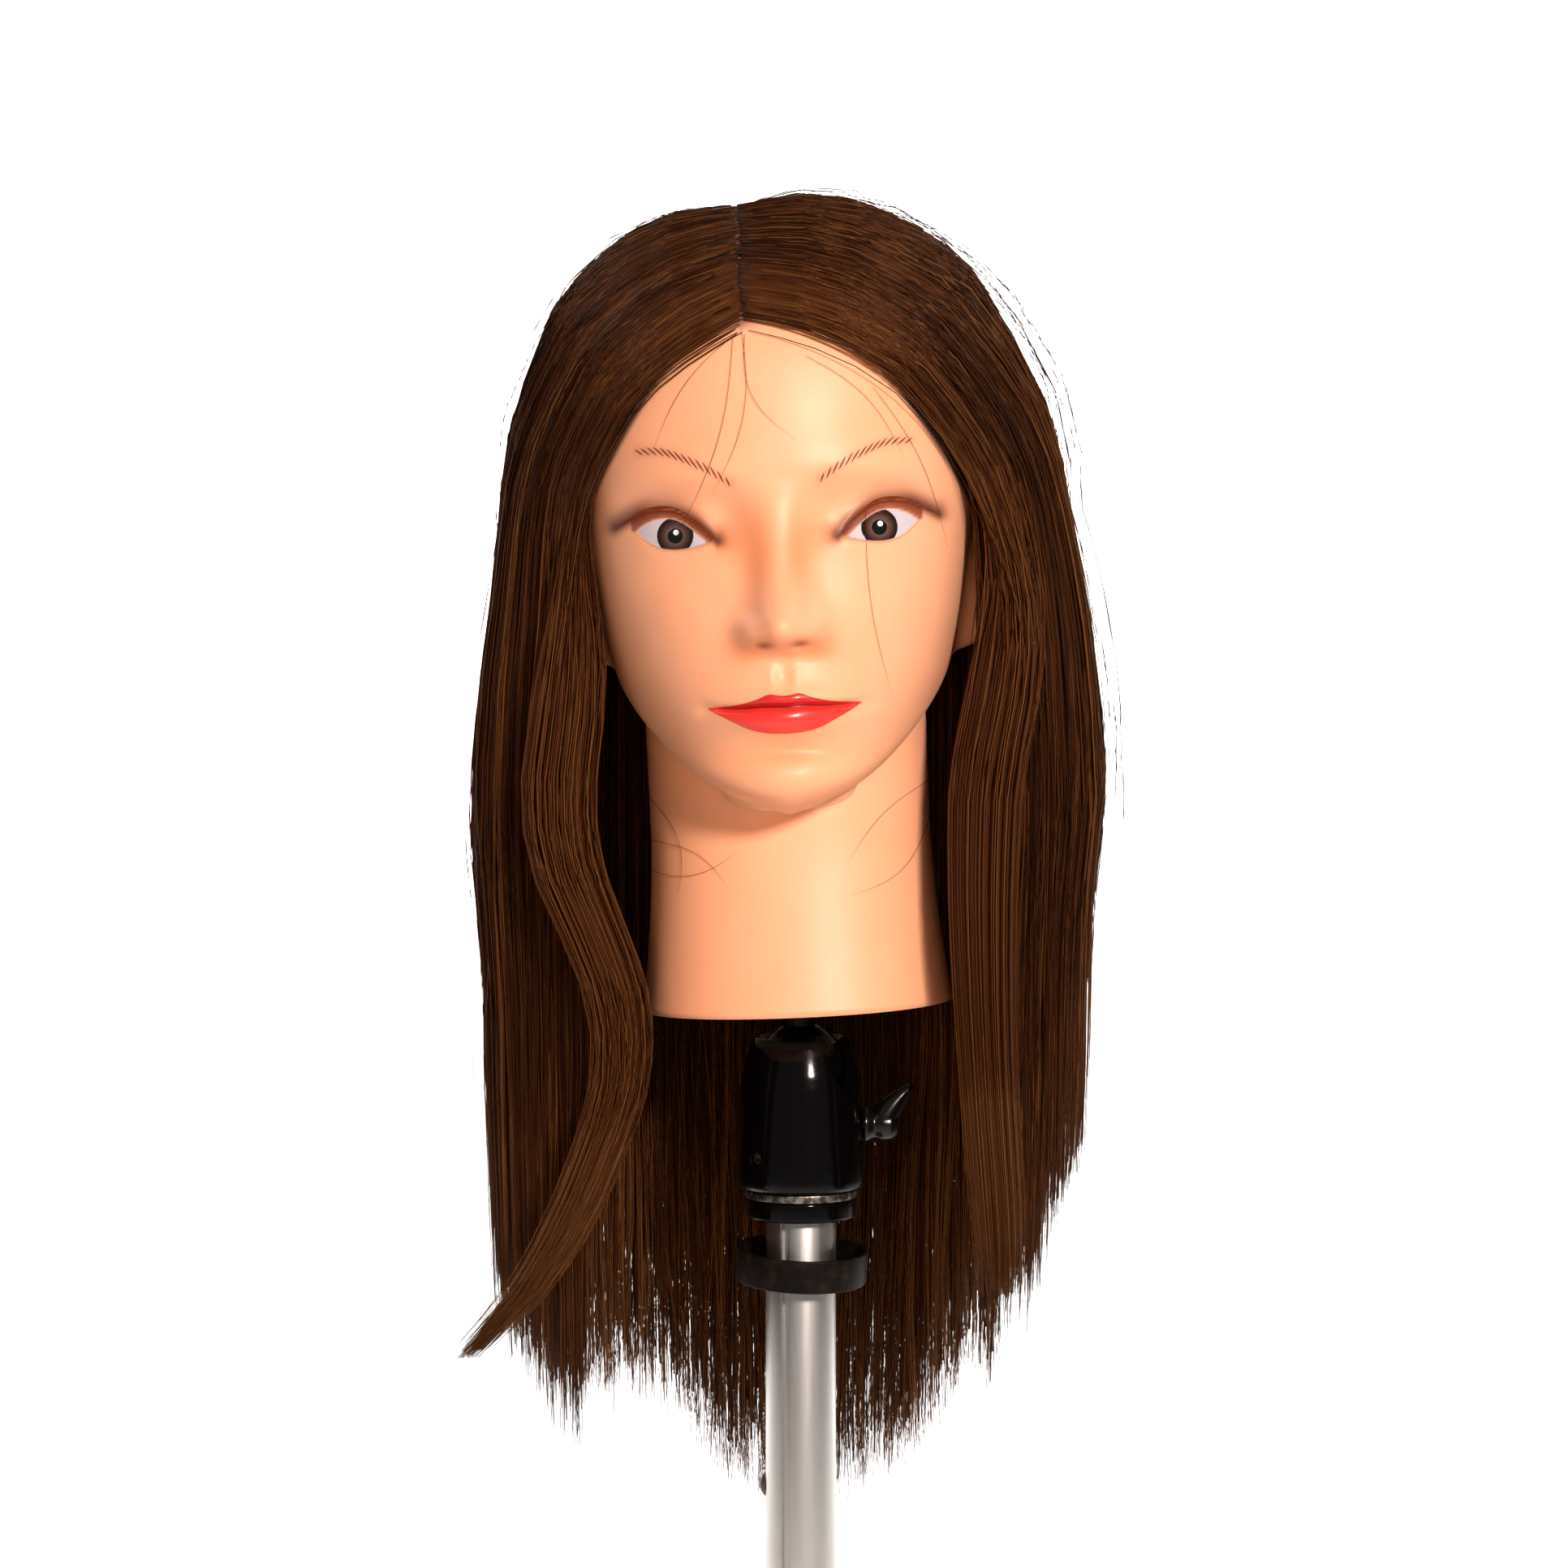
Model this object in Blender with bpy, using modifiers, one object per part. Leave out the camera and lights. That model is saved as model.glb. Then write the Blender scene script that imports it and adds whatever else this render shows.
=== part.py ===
"""Mannequin training head on a tilting ball holder: a vinyl head with rooted hair, a grip cone, a ball and
housing with a drop notch, and the top of the aluminium column that carries them.

Frame: origin at the centre of the column's foot, +Z up along the column, the face looks along -Y.
"""

from math import cos, pi, radians, sin, tan

import bmesh
import bpy
import numpy as np
from mathutils import Matrix, Vector
from mathutils.bvhtree import BVHTree

# Driving sizes, metres and radians
GAP = 0.0003                    # between pieces that rest on each other
COLUMN_R = 0.0125
COLUMN_WALL = 0.0015
COLUMN_TOP_Z = 0.1964
GROOVE_WIDTH = 0.0032
GROOVE_DEPTH = 0.0009
GROOVE_AZIMUTH = radians(-26)   # from the front, towards +X
BUTTON_Z = 0.100
BUTTON_R = 0.0054
BUTTON_AZIMUTH = radians(-108)
CUP_Z = 0.1740
CUP_R = 0.0235
CUP_HEIGHT = 0.0118
CUP_TILT = radians(2.2)         # towards +X
CUP_PITCH = radians(3.6)        # towards the front
PAN_R = 0.0200
PAN_Z = 0.1967
HOUSING_Z = 0.2075
HOUSING_TOP_Z = 0.2612
HOUSING_R = 0.0236
HOUSING_TOP_R = 0.0176
BORE_R = 0.0158
BALL_Z = 0.2510
BALL_R = 0.0155
NOTCH_AZIMUTH = radians(53)
NOTCH_R = 0.0076
STEM_R = 0.0065
LOCK_Z = 0.2300
LOCK_R = 0.0030
SET_SCREW_Z = 0.2194
SET_SCREW_AZIMUTH = radians(-45)
SET_SCREW_R = 0.0025
LEAN = radians(2.5)             # the head leans towards -X about the ball
NECK_Z = 0.2733
CONE_Z = 0.2765
CONE_TOP_Z = 0.3380
SOCKET_R = 0.0215
SOCKET_TOP_Z = 0.3520
ROUND_STEPS = 24
SMALL_STEPS = 12

# Rows of the head form without its neck: height, half width, front depth, back depth
HEAD_ROWS = (
    (0.2733, 0.004, 0.010, 0.010),
    (0.2950, 0.004, 0.014, 0.014),
    (0.3150, 0.004, 0.020, 0.018),
    (0.3290, 0.007, 0.030, 0.024),
    (0.3370, 0.013, 0.050, 0.032),
    (0.3420, 0.019, 0.0690, 0.040),
    (0.3470, 0.0250, 0.0815, 0.047),
    (0.3540, 0.0330, 0.0875, 0.054),
    (0.3620, 0.0405, 0.0868, 0.061),
    (0.3700, 0.0468, 0.0862, 0.067),
    (0.3800, 0.0525, 0.0880, 0.073),
    (0.3910, 0.0570, 0.0890, 0.079),
    (0.4020, 0.0605, 0.0890, 0.084),
    (0.4140, 0.0635, 0.0885, 0.088),
    (0.4280, 0.0665, 0.0880, 0.092),
    (0.4450, 0.0695, 0.0885, 0.095),
    (0.4650, 0.0722, 0.0898, 0.096),
    (0.4850, 0.0730, 0.0885, 0.094),
    (0.5050, 0.0702, 0.0830, 0.088),
    (0.5220, 0.0635, 0.0725, 0.078),
    (0.5360, 0.0530, 0.0585, 0.064),
    (0.5465, 0.0385, 0.0420, 0.046),
    (0.5530, 0.0215, 0.0235, 0.026),
    (0.5555, 0.0000, 0.0000, 0.000),
)
# Height the nose stands out at, and how far
NOSE_PROFILE = (
    (0.3925, 0.0), (0.3965, 0.0030), (0.3995, 0.0120), (0.4030, 0.0190), (0.4075, 0.0205),
    (0.4125, 0.0175), (0.4200, 0.0130), (0.4300, 0.0078), (0.4400, 0.0032), (0.4480, 0.0014),
    (0.4580, 0.0),
)

for old in list(bpy.data.objects):
    bpy.data.objects.remove(old, do_unlink=True)
for old in list(bpy.data.collections):
    bpy.data.collections.remove(old)
model = bpy.data.collections.new("mannequin_training_head")
cutters = bpy.data.collections.new("cutters")
bpy.context.scene.collection.children.link(model)
bpy.context.scene.collection.children.link(cutters)


def finish(name, colour, roughness, metallic=0.0):
    """A plain Principled finish: colour, roughness and metallic value."""
    made = bpy.data.materials.new(name)
    made.use_nodes = True
    shader = made.node_tree.nodes["Principled BSDF"]
    shader.inputs["Base Color"].default_value = (*colour, 1.0)
    shader.inputs["Roughness"].default_value = roughness
    shader.inputs["Metallic"].default_value = metallic
    made.diffuse_color = (*colour, 1.0)
    return made


VINYL = finish("vinyl", (0.86, 0.55, 0.36), 0.45)
FOAM = finish("foam", (0.80, 0.74, 0.58), 0.95)
BEIGE_PLASTIC = finish("beige_plastic", (0.62, 0.52, 0.40), 0.50)
HAIR = finish("hair", (0.070, 0.032, 0.016), 0.45)
RUBBER = finish("rubber", (0.035, 0.035, 0.035), 0.80)
STEEL = finish("steel", (0.62, 0.61, 0.59), 0.30, 1.0)
BLACK_ENAMEL = finish("black_enamel", (0.012, 0.011, 0.012), 0.18)
BLACK_PLASTIC = finish("black_plastic", (0.025, 0.024, 0.024), 0.40)
ALUMINIUM = finish("anodised_aluminium", (0.72, 0.71, 0.69), 0.38, 1.0)
BROWN_PLASTIC = finish("brown_plastic", (0.10, 0.055, 0.030), 0.50)


def add(name, mesh, material, parent=None, group=model):
    """A named object with one material, smooth but for its sharp edges."""
    made = bpy.data.objects.new(name, mesh)
    group.objects.link(made)
    if material:
        mesh.materials.append(material)
    mesh.shade_smooth()
    mesh.set_sharp_from_angle(angle=radians(35))
    if parent:
        made.parent = parent
        made.matrix_parent_inverse = Matrix.Identity(4)
    return made


def pivot(name, location, rotation=(0.0, 0.0, 0.0)):
    """An empty on a joint's axis, which the pieces that move together hang from."""
    made = bpy.data.objects.new(name, None)
    made.location = location
    made.rotation_euler = rotation
    made.empty_display_size = 0.02
    model.objects.link(made)
    return made


def turned(name, profile, material, parent=None, ring=False, steps=ROUND_STEPS, group=model):
    """A profile of (radius, height) points, outer side from top to bottom, turned about Z."""
    mesh = bpy.data.meshes.new(name)
    points = [(r, 0.0, z) for r, z in profile]
    count = len(points)
    edges = [(i, (i + 1) % count) for i in range(count if ring else count - 1)]
    mesh.from_pydata(points, edges, [])
    made = add(name, mesh, material, parent, group)
    screw = made.modifiers.new("turn", "SCREW")
    screw.axis = "Z"
    screw.steps = screw.render_steps = steps
    screw.use_merge_vertices = True
    screw.merge_threshold = 1e-5
    screw.use_smooth_shade = True
    return made


def solid_cylinder(radius, low, high):
    """The profile of a plain cylinder."""
    return [(0.0, high), (radius, high), (radius, low), (0.0, low)]


def tube_profile(inner, outer, low, high):
    """The closed profile of a plain tube."""
    return [(outer, high), (outer, low), (inner, low), (inner, high)]


def as_cutter(made):
    """Marks a shape that only cuts."""
    made.hide_render = True
    made.display_type = "WIRE"
    return made


def cylinder_cutter(name, radius, start, end, steps=SMALL_STEPS):
    """A cylinder between two points that only cuts."""
    run = Vector(end) - Vector(start)
    mesh = bpy.data.meshes.new(name)
    shape = bmesh.new()
    bmesh.ops.create_cone(
        shape, cap_ends=True, segments=steps, radius1=radius, radius2=radius, depth=run.length
    )
    shape.to_mesh(mesh)
    shape.free()
    made = as_cutter(add(name, mesh, None, None, cutters))
    made.rotation_euler = run.to_track_quat("Z", "Y").to_euler()
    made.location = (Vector(start) + Vector(end)) / 2
    return made


def box_cutter(name, size, centre, azimuth):
    """A box turned about Z that only cuts."""
    mesh = bpy.data.meshes.new(name)
    shape = bmesh.new()
    bmesh.ops.create_cube(shape, size=1.0, matrix=Matrix.Diagonal((*size, 1.0)))
    shape.to_mesh(mesh)
    shape.free()
    made = as_cutter(add(name, mesh, None, None, cutters))
    made.location = centre
    made.rotation_euler = (0.0, 0.0, azimuth)
    return made


def combine(made, other, operation="DIFFERENCE"):
    """Cuts or joins one shape with another."""
    step = made.modifiers.new(other.name, "BOOLEAN")
    step.operation = operation
    step.solver = "EXACT"
    step.object = other


def outward(azimuth, radius, height):
    """The point at an azimuth from the front (-Y) towards +X."""
    return (radius * sin(azimuth), -radius * cos(azimuth), height)


def grid_mesh(name, outer, inner, closed_round):
    """A closed shell between two sheets of points, each (rows, columns, 3), joined along their open edges.

    Sheets that go right round are joined at their first row only, since each ends in a pole.
    """
    columns = outer.shape[1]
    last = columns if closed_round else columns - 1
    faces = []
    for first, rows, order in ((0, len(outer), 1), (outer.shape[0] * columns, len(inner), -1)):
        for row in range(rows - 1):
            for column in range(last):
                a = first + row * columns + column
                b = first + row * columns + (column + 1) % columns
                faces.append((a, b, b + columns, a + columns)[::order])
    base = len(outer) * columns
    for column in range(last):
        a, b = column, (column + 1) % columns
        faces.append((base + a, base + b, b, a))
    if not closed_round:
        top = base - columns
        for column in range(last):
            faces.append((top + column, top + column + 1, base + top + column + 1, base + top + column))
        for row in range(len(outer) - 1):
            a, d = row * columns, (row + 1) * columns
            faces.append((a, d, base + d, base + a))
            b, c = a + columns - 1, d + columns - 1
            faces.append((base + b, base + c, c, b))
    vertices = np.concatenate([outer.reshape(-1, 3), inner.reshape(-1, 3)])
    mesh = bpy.data.meshes.new(name)
    mesh.from_pydata([tuple(v) for v in vertices], [], faces)
    shape = bmesh.new()
    shape.from_mesh(mesh)
    bmesh.ops.remove_doubles(shape, verts=shape.verts, dist=1e-6)
    bmesh.ops.recalc_face_normals(shape, faces=shape.faces)
    shape.to_mesh(mesh)
    shape.free()
    return mesh


# The head's form

def through(knots, at):
    """A smooth curve through rows of knots (Catmull-Rom), read at row numbers that may be fractions."""
    knots = np.asarray(knots)
    last = len(knots) - 1
    low = np.clip(np.floor(at).astype(int), 0, last - 1)
    part = (at - low)[:, None]
    before, here = knots[np.clip(low - 1, 0, last)], knots[low]
    there, after = knots[low + 1], knots[np.clip(low + 2, 0, last)]
    return 0.5 * (
        2 * here
        + (there - before) * part
        + (2 * before - 5 * here + 4 * there - after) * part**2
        + (3 * here - before - 3 * there + after) * part**3
    )


def smooth_step(low, high, value):
    """0 below low, 1 above high, and an S between."""
    part = np.clip((value - low) / (high - low), 0.0, 1.0)
    return part * part * (3 - 2 * part)


def hump(across, up, centre_across, centre_up, width, height, power=2.0):
    """A smooth hump of 1 at its centre."""
    return np.exp(
        -np.abs((across - centre_across) / width) ** power - np.abs((up - centre_up) / height) ** power
    )


def oval_radius(azimuth, width, front, back, power=2.15):
    """The radius of an oval with unlike front and back depths."""
    depth = np.where(np.cos(azimuth) > 0, front, back)
    width, depth = np.maximum(width, 1e-5), np.maximum(depth, 1e-5)
    return (
        np.abs(np.sin(azimuth) / width) ** power + np.abs(np.cos(azimuth) / depth) ** power
    ) ** (-1 / power)


def head_form(azimuth, row):
    """Radius and height of the head without its features, with its neck blended in."""
    height, width, front, back = through(HEAD_ROWS, row).T
    height, width = height[:, None], np.maximum(width, 0.0)[:, None]
    front, back = np.maximum(front, 0.0)[:, None], np.maximum(back, 0.0)[:, None]
    head = oval_radius(azimuth, width, front, back)
    flare = np.clip((0.335 - height) / (0.335 - NECK_Z), 0.0, 1.0) ** 1.6
    neck = oval_radius(azimuth, 0.0495 + 0.0055 * flare, 0.0455 + 0.0085 * flare, 0.0520)
    neck = neck * (1 - smooth_step(0.40, 0.50, height))
    blend = 0.006 * (1 - smooth_step(0.40, 0.48, height))
    radius = 0.5 * (head + neck + np.sqrt((head - neck) ** 2 + blend**2))
    return radius, np.broadcast_to(height, radius.shape)


def features(across, up):
    """How far the face stands out of the head's form: sockets, eyes, nose, lips and chin."""
    side = np.abs(across)
    out = -0.0080 * hump(side, up, 0.0330, 0.4430, 0.0165, 0.0105)
    out -= 0.0035 * hump(side, up, 0.0170, 0.4460, 0.0070, 0.0090)
    out += 0.0050 * hump(side, up, 0.0340, 0.4405, 0.0140, 0.0085, 3.0)
    out += 0.0022 * hump(side, up, 0.0330, 0.4600, 0.0200, 0.0060)
    heights, stand = np.asarray(NOSE_PROFILE).T
    spread = 0.0058 + 0.0040 * (1 - smooth_step(0.400, 0.436, up))
    out += np.interp(up, heights, stand) * np.exp(-((side / spread) ** 2.2))
    out += 0.0085 * hump(side, up, 0.0115, 0.4045, 0.0046, 0.0052)
    out += 0.0030 * hump(side, up, 0.0400, 0.4130, 0.0200, 0.0180)
    out += 0.0050 * hump(side, up, 0.0, 0.3820, 0.0260, 0.0140)
    out -= 0.0012 * hump(side, up, 0.0, 0.3925, 0.0035, 0.0050)
    out += 0.0030 * hump(side, up, 0.0, 0.3848, 0.0190, 0.0032)
    out += 0.0036 * hump(side, up, 0.0, 0.3765, 0.0165, 0.0042)
    out -= 0.0026 * hump(side, up, 0.0, 0.3812, 0.0220, 0.0013)
    out -= 0.0030 * hump(side, up, 0.0, 0.3665, 0.0170, 0.0045)
    out += 0.0028 * hump(side, up, 0.0, 0.3555, 0.0150, 0.0080)
    return out


def ears(azimuth, height):
    """How far the ears stand out of the head's form."""
    side = np.abs(azimuth)
    return 0.0120 * hump(side, height, radians(98), 0.4240, radians(9), 0.0190, 3.0)


def head_surface(azimuths, rows):
    """The head's skin as a grid of points in its own upright frame."""
    azimuth = azimuths[None, :]
    radius, height = head_form(azimuth, rows)
    radius = radius + ears(azimuth, height)
    across, depth = radius * np.sin(azimuth), -radius * np.cos(azimuth)
    facing = smooth_step(0.15, 0.45, np.cos(azimuth))
    depth = depth - features(across, height) * facing
    return np.stack([across, depth, height], axis=-1)


LAST_ROW = len(HEAD_ROWS) - 1


# The column: an extruded tube with a lengthwise groove, closed by a plug at each end

column_tube = turned(
    "column_tube",
    tube_profile(COLUMN_R - COLUMN_WALL, COLUMN_R, 0.0033, COLUMN_TOP_Z),
    ALUMINIUM, ring=True,
)
groove = box_cutter(
    "column_groove",
    (GROOVE_WIDTH, 2 * GROOVE_DEPTH, 0.25),
    outward(GROOVE_AZIMUTH, COLUMN_R, 0.10),
    GROOVE_AZIMUTH,
)
combine(column_tube, groove)
button_hole = cylinder_cutter(
    "button_hole",
    BUTTON_R + GAP,
    outward(BUTTON_AZIMUTH, 0.006, BUTTON_Z),
    outward(BUTTON_AZIMUTH, 0.018, BUTTON_Z),
)
combine(column_tube, button_hole)

PLUG_R = COLUMN_R - COLUMN_WALL - GAP
turned(
    "column_end_plug",
    [(0.0, 0.018), (PLUG_R - 0.0008, 0.018), (PLUG_R, 0.0172), (PLUG_R, 0.003), (COLUMN_R, 0.003),
     (COLUMN_R, 0.0006), (COLUMN_R - 0.0006, 0.0), (0.0, 0.0)],
    BLACK_PLASTIC,
)
BOLT_R = 0.0040
turned(
    "column_top_plug",
    tube_profile(BOLT_R + GAP, PLUG_R, 0.1720, COLUMN_TOP_Z - GAP),
    BLACK_PLASTIC, ring=True,
)

# The snap button and its leaf spring, inside the tube behind the left side
snap_button = turned(
    "snap_button",
    [(0.0, 0.0042), (0.0022, 0.0038), (0.0040, 0.0026), (BUTTON_R, 0.0006), (BUTTON_R, -0.0028),
     (0.0, -0.0028)],
    BROWN_PLASTIC, steps=24,
)
snap_button.location = outward(BUTTON_AZIMUTH, 0.0110, BUTTON_Z)
snap_button.rotation_euler = Vector(outward(BUTTON_AZIMUTH, 1.0, 0.0)).to_track_quat("Z", "Y").to_euler()

spring_path = bpy.data.curves.new("snap_spring", "CURVE")
spring_path.dimensions = "3D"
spring_path.bevel_depth = 0.0009
spring_path.bevel_resolution = 2
spring_path.use_fill_caps = True
spring_path.render_resolution_u = 0
leaf = spring_path.splines.new("POLY")
LEAF_POINTS = 9
leaf.points.add(LEAF_POINTS - 1)
for index, point in enumerate(leaf.points):
    turn = pi * index / (LEAF_POINTS - 1)
    reach = 0.0082 * cos(turn) - 0.0014
    point.co = (*outward(BUTTON_AZIMUTH, reach, BUTTON_Z - 0.001 - 0.018 * sin(turn)), 1.0)
snap_spring = bpy.data.objects.new("snap_spring", spring_path)
spring_path.materials.append(STEEL)
model.objects.link(snap_spring)

# The loose trim cup around the column, tilted a little by its clearance
trim_cup = turned(
    "trim_cup",
    [(CUP_R, CUP_HEIGHT), (CUP_R - 0.0006, 0.0008), (CUP_R - 0.0014, 0.0), (0.0134, 0.0), (0.0134, 0.0014),
     (0.0152, 0.0014), (0.0152, 0.0020), (CUP_R - 0.0022, 0.0020), (CUP_R - 0.0013, CUP_HEIGHT)],
    BLACK_PLASTIC, ring=True,
)
trim_cup.location = (0.0, 0.0, CUP_Z)
trim_cup.rotation_euler = (CUP_PITCH, CUP_TILT, 0.0)

# The pan joint: a black ring with a spigot, bolted to the column, and a steel washer on it
SPIGOT_R = 0.0090
SPIGOT_TOP_Z = 0.2230
PAN_TOP_Z = PAN_Z + 0.0070
turned(
    "pan_ring",
    [(SPIGOT_R, SPIGOT_TOP_Z), (SPIGOT_R, 0.2222), (SPIGOT_R - 0.0010, 0.2222),
     (SPIGOT_R - 0.0010, 0.2166), (SPIGOT_R, 0.2166), (SPIGOT_R, PAN_TOP_Z), (PAN_R - 0.0008, PAN_TOP_Z),
     (PAN_R, PAN_TOP_Z - 0.0008), (PAN_R, PAN_Z + 0.0015), (PAN_R - 0.0015, PAN_Z),
     (BOLT_R + GAP, PAN_Z), (BOLT_R + GAP, 0.2160), (0.0068, 0.2160), (0.0068, SPIGOT_TOP_Z)],
    BLACK_ENAMEL, ring=True,
)
turned(
    "pan_bolt",
    [(0.0, 0.2226), (0.0062, 0.2226), (0.0065, 0.2223), (0.0065, 0.2163), (BOLT_R, 0.2163), (BOLT_R, 0.1765),
     (BOLT_R - 0.0005, 0.1760), (0.0, 0.1760)],
    STEEL, steps=SMALL_STEPS,
)
turned(
    "pan_washer",
    [(PAN_R - 0.0004, 0.2068), (PAN_R - 0.0001, 0.2064), (PAN_R - 0.0001, 0.2044),
     (PAN_R - 0.0004, PAN_TOP_Z + GAP), (SPIGOT_R + GAP, PAN_TOP_Z + GAP), (SPIGOT_R + GAP, 0.2068)],
    STEEL, ring=True,
)

# The housing: turned black metal with a drop notch that the stem swings into
swivel_axis = pivot("swivel_axis", (0.0, 0.0, HOUSING_Z))


def bowl(radius, low, high, steps):
    """Points on the inside of a sphere about the ball's centre, from one height to another."""
    heights = np.linspace(low, high, steps)
    return [(float(np.sqrt(radius**2 - (h - BALL_Z) ** 2)), float(h)) for h in heights]


def above(profile, base):
    """A profile moved down to a parent's height."""
    return [(r, z - base) for r, z in profile]


MOUTH_Z = HOUSING_TOP_Z - 0.0004
housing = turned(
    "housing",
    above(
        [(HOUSING_TOP_R - 0.0026, HOUSING_TOP_Z), (HOUSING_TOP_R - 0.0011, HOUSING_TOP_Z - 0.0004),
         (HOUSING_TOP_R, HOUSING_TOP_Z - 0.0018), (0.0196, 0.2440), (HOUSING_R, 0.2115),
         (HOUSING_R - 0.0004, 0.2092), (HOUSING_R - 0.0018, 0.2078), (HOUSING_R - 0.0030, HOUSING_Z),
         (BORE_R, HOUSING_Z), (BORE_R, BALL_Z - 0.001)]
        + bowl(BORE_R, BALL_Z, MOUTH_Z, 8),
        HOUSING_Z,
    ),
    BLACK_ENAMEL, swivel_axis, ring=True, steps=40,
)
combine(housing, cylinder_cutter(
    "notch_round",
    NOTCH_R,
    outward(NOTCH_AZIMUTH, 0.006, BALL_Z),
    outward(NOTCH_AZIMUTH, 0.030, BALL_Z),
    steps=28,
))
combine(housing, box_cutter(
    "notch_slot",
    (2 * NOTCH_R, 0.024, 0.024),
    outward(NOTCH_AZIMUTH, 0.018, BALL_Z + 0.012),
    NOTCH_AZIMUTH,
))
lock_hole = cylinder_cutter("lock_hole", LOCK_R + 0.0003, (0.010, 0.0, LOCK_Z), (0.030, 0.0, LOCK_Z))
combine(housing, lock_hole)
set_screw_hole = cylinder_cutter(
    "set_screw_hole",
    SET_SCREW_R + GAP,
    outward(SET_SCREW_AZIMUTH, 0.0060, SET_SCREW_Z),
    outward(SET_SCREW_AZIMUTH, 0.0300, SET_SCREW_Z),
)
combine(housing, set_screw_hole)

housing_base = turned(
    "housing_base",
    above(tube_profile(SPIGOT_R + GAP, BORE_R - GAP, HOUSING_Z + 0.0003, SPIGOT_TOP_Z), HOUSING_Z),
    BLACK_PLASTIC, swivel_axis, ring=True,
)
combine(housing_base, set_screw_hole)

set_screw = turned(
    "set_screw",
    [(0.0, 0.0105), (0.0014, 0.0105), (0.0014, 0.0118), (0.0021, 0.0118), (SET_SCREW_R, 0.0114),
     (SET_SCREW_R, 0.0008), (0.0017, 0.0), (0.0, 0.0)],
    STEEL, swivel_axis, steps=SMALL_STEPS,
)
SET_SCREW_START = SPIGOT_R + 0.0006
set_screw.location = Vector(outward(SET_SCREW_AZIMUTH, SET_SCREW_START, SET_SCREW_Z - HOUSING_Z))
set_screw.rotation_euler = (
    Vector(outward(SET_SCREW_AZIMUTH, 1.0, 0.0)).to_track_quat("Z", "Y").to_euler()
)

SEAT_RIM_Z = 0.2425
SEAT_FOOT_Z = 0.2338
turned(
    "ball_seat",
    above(
        [(0.0, BALL_Z - BORE_R)]
        + bowl(BORE_R, BALL_Z - BORE_R + 0.0004, SEAT_RIM_Z, 7)
        + [(BORE_R - GAP, SEAT_RIM_Z), (BORE_R - GAP, SEAT_FOOT_Z), (0.0, SEAT_FOOT_Z)],
        HOUSING_Z,
    ),
    BEIGE_PLASTIC, swivel_axis,
)
turned(
    "wedge_block",
    above(
        [(0.0, SEAT_FOOT_Z - GAP), (0.0050, SEAT_FOOT_Z - GAP), (0.0070, LOCK_Z + 0.0010), (0.0070, 0.2234),
         (0.0, 0.2234)],
        HOUSING_Z,
    ),
    STEEL, swivel_axis, steps=24,
)

# The lock: a screw with a cast wing handle, turning about X
lock_axis = pivot("lock_axis", (0.0, 0.0, LOCK_Z), (0.0, pi / 2, 0.0))
LOCK_TIP = 0.0074
LOCK_END = 0.0315
turned(
    "lock_screw",
    [(0.0, LOCK_END), (LOCK_R - 0.0004, LOCK_END), (LOCK_R, LOCK_END - 0.0004), (LOCK_R, LOCK_TIP + 0.0016),
     (LOCK_R - 0.0014, LOCK_TIP), (0.0, LOCK_TIP)],
    STEEL, lock_axis, steps=SMALL_STEPS,
)
HUB_START = 0.0225
wing_hub = as_cutter(turned(
    "wing_hub",
    [(0.0, 0.0345), (0.0040, 0.0345), (0.0056, 0.0325), (0.0060, 0.0290), (0.0052, 0.0262), (0.0060, 0.0240),
     (0.0066, HUB_START), (0.0, HUB_START)],
    None, lock_axis, steps=20, group=cutters,
))
lever_path = bpy.data.curves.new("wing_handle", "CURVE")
lever_path.dimensions = "3D"
lever_path.bevel_depth = 0.0046
lever_path.bevel_resolution = 2
lever_path.use_fill_caps = True
lever_path.render_resolution_u = 0
lever_path.resolution_u = 3
lever = lever_path.splines.new("BEZIER")
LEVER = (((-0.0010, 0.0295), 1.25), ((-0.0085, 0.0335), 1.0), ((-0.0155, 0.0385), 0.52))
lever.bezier_points.add(len(LEVER) - 1)
for point, ((rise, reach), scale) in zip(lever.bezier_points, LEVER):
    point.co = (rise, 0.0, reach)
    point.radius = scale
    point.handle_left_type = point.handle_right_type = "AUTO"
drawn = bpy.data.objects.new("lever_drawn", lever_path)
model.objects.link(drawn)
bpy.context.view_layer.update()
lever_mesh = bpy.data.meshes.new_from_object(drawn.evaluated_get(bpy.context.evaluated_depsgraph_get()))
bpy.data.objects.remove(drawn)
tidy = bmesh.new()
tidy.from_mesh(lever_mesh)
bmesh.ops.remove_doubles(tidy, verts=tidy.verts, dist=1e-6)
tidy.to_mesh(lever_mesh)
tidy.free()
wing_handle = add("wing_handle", lever_mesh, BLACK_PLASTIC, lock_axis)
combine(wing_handle, wing_hub, "UNION")
wing_bore = as_cutter(turned(
    "wing_bore",
    solid_cylinder(LOCK_R + GAP, HUB_START - 0.004, LOCK_END + GAP),
    None, lock_axis, steps=SMALL_STEPS, group=cutters,
))
combine(wing_handle, wing_bore)

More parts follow.
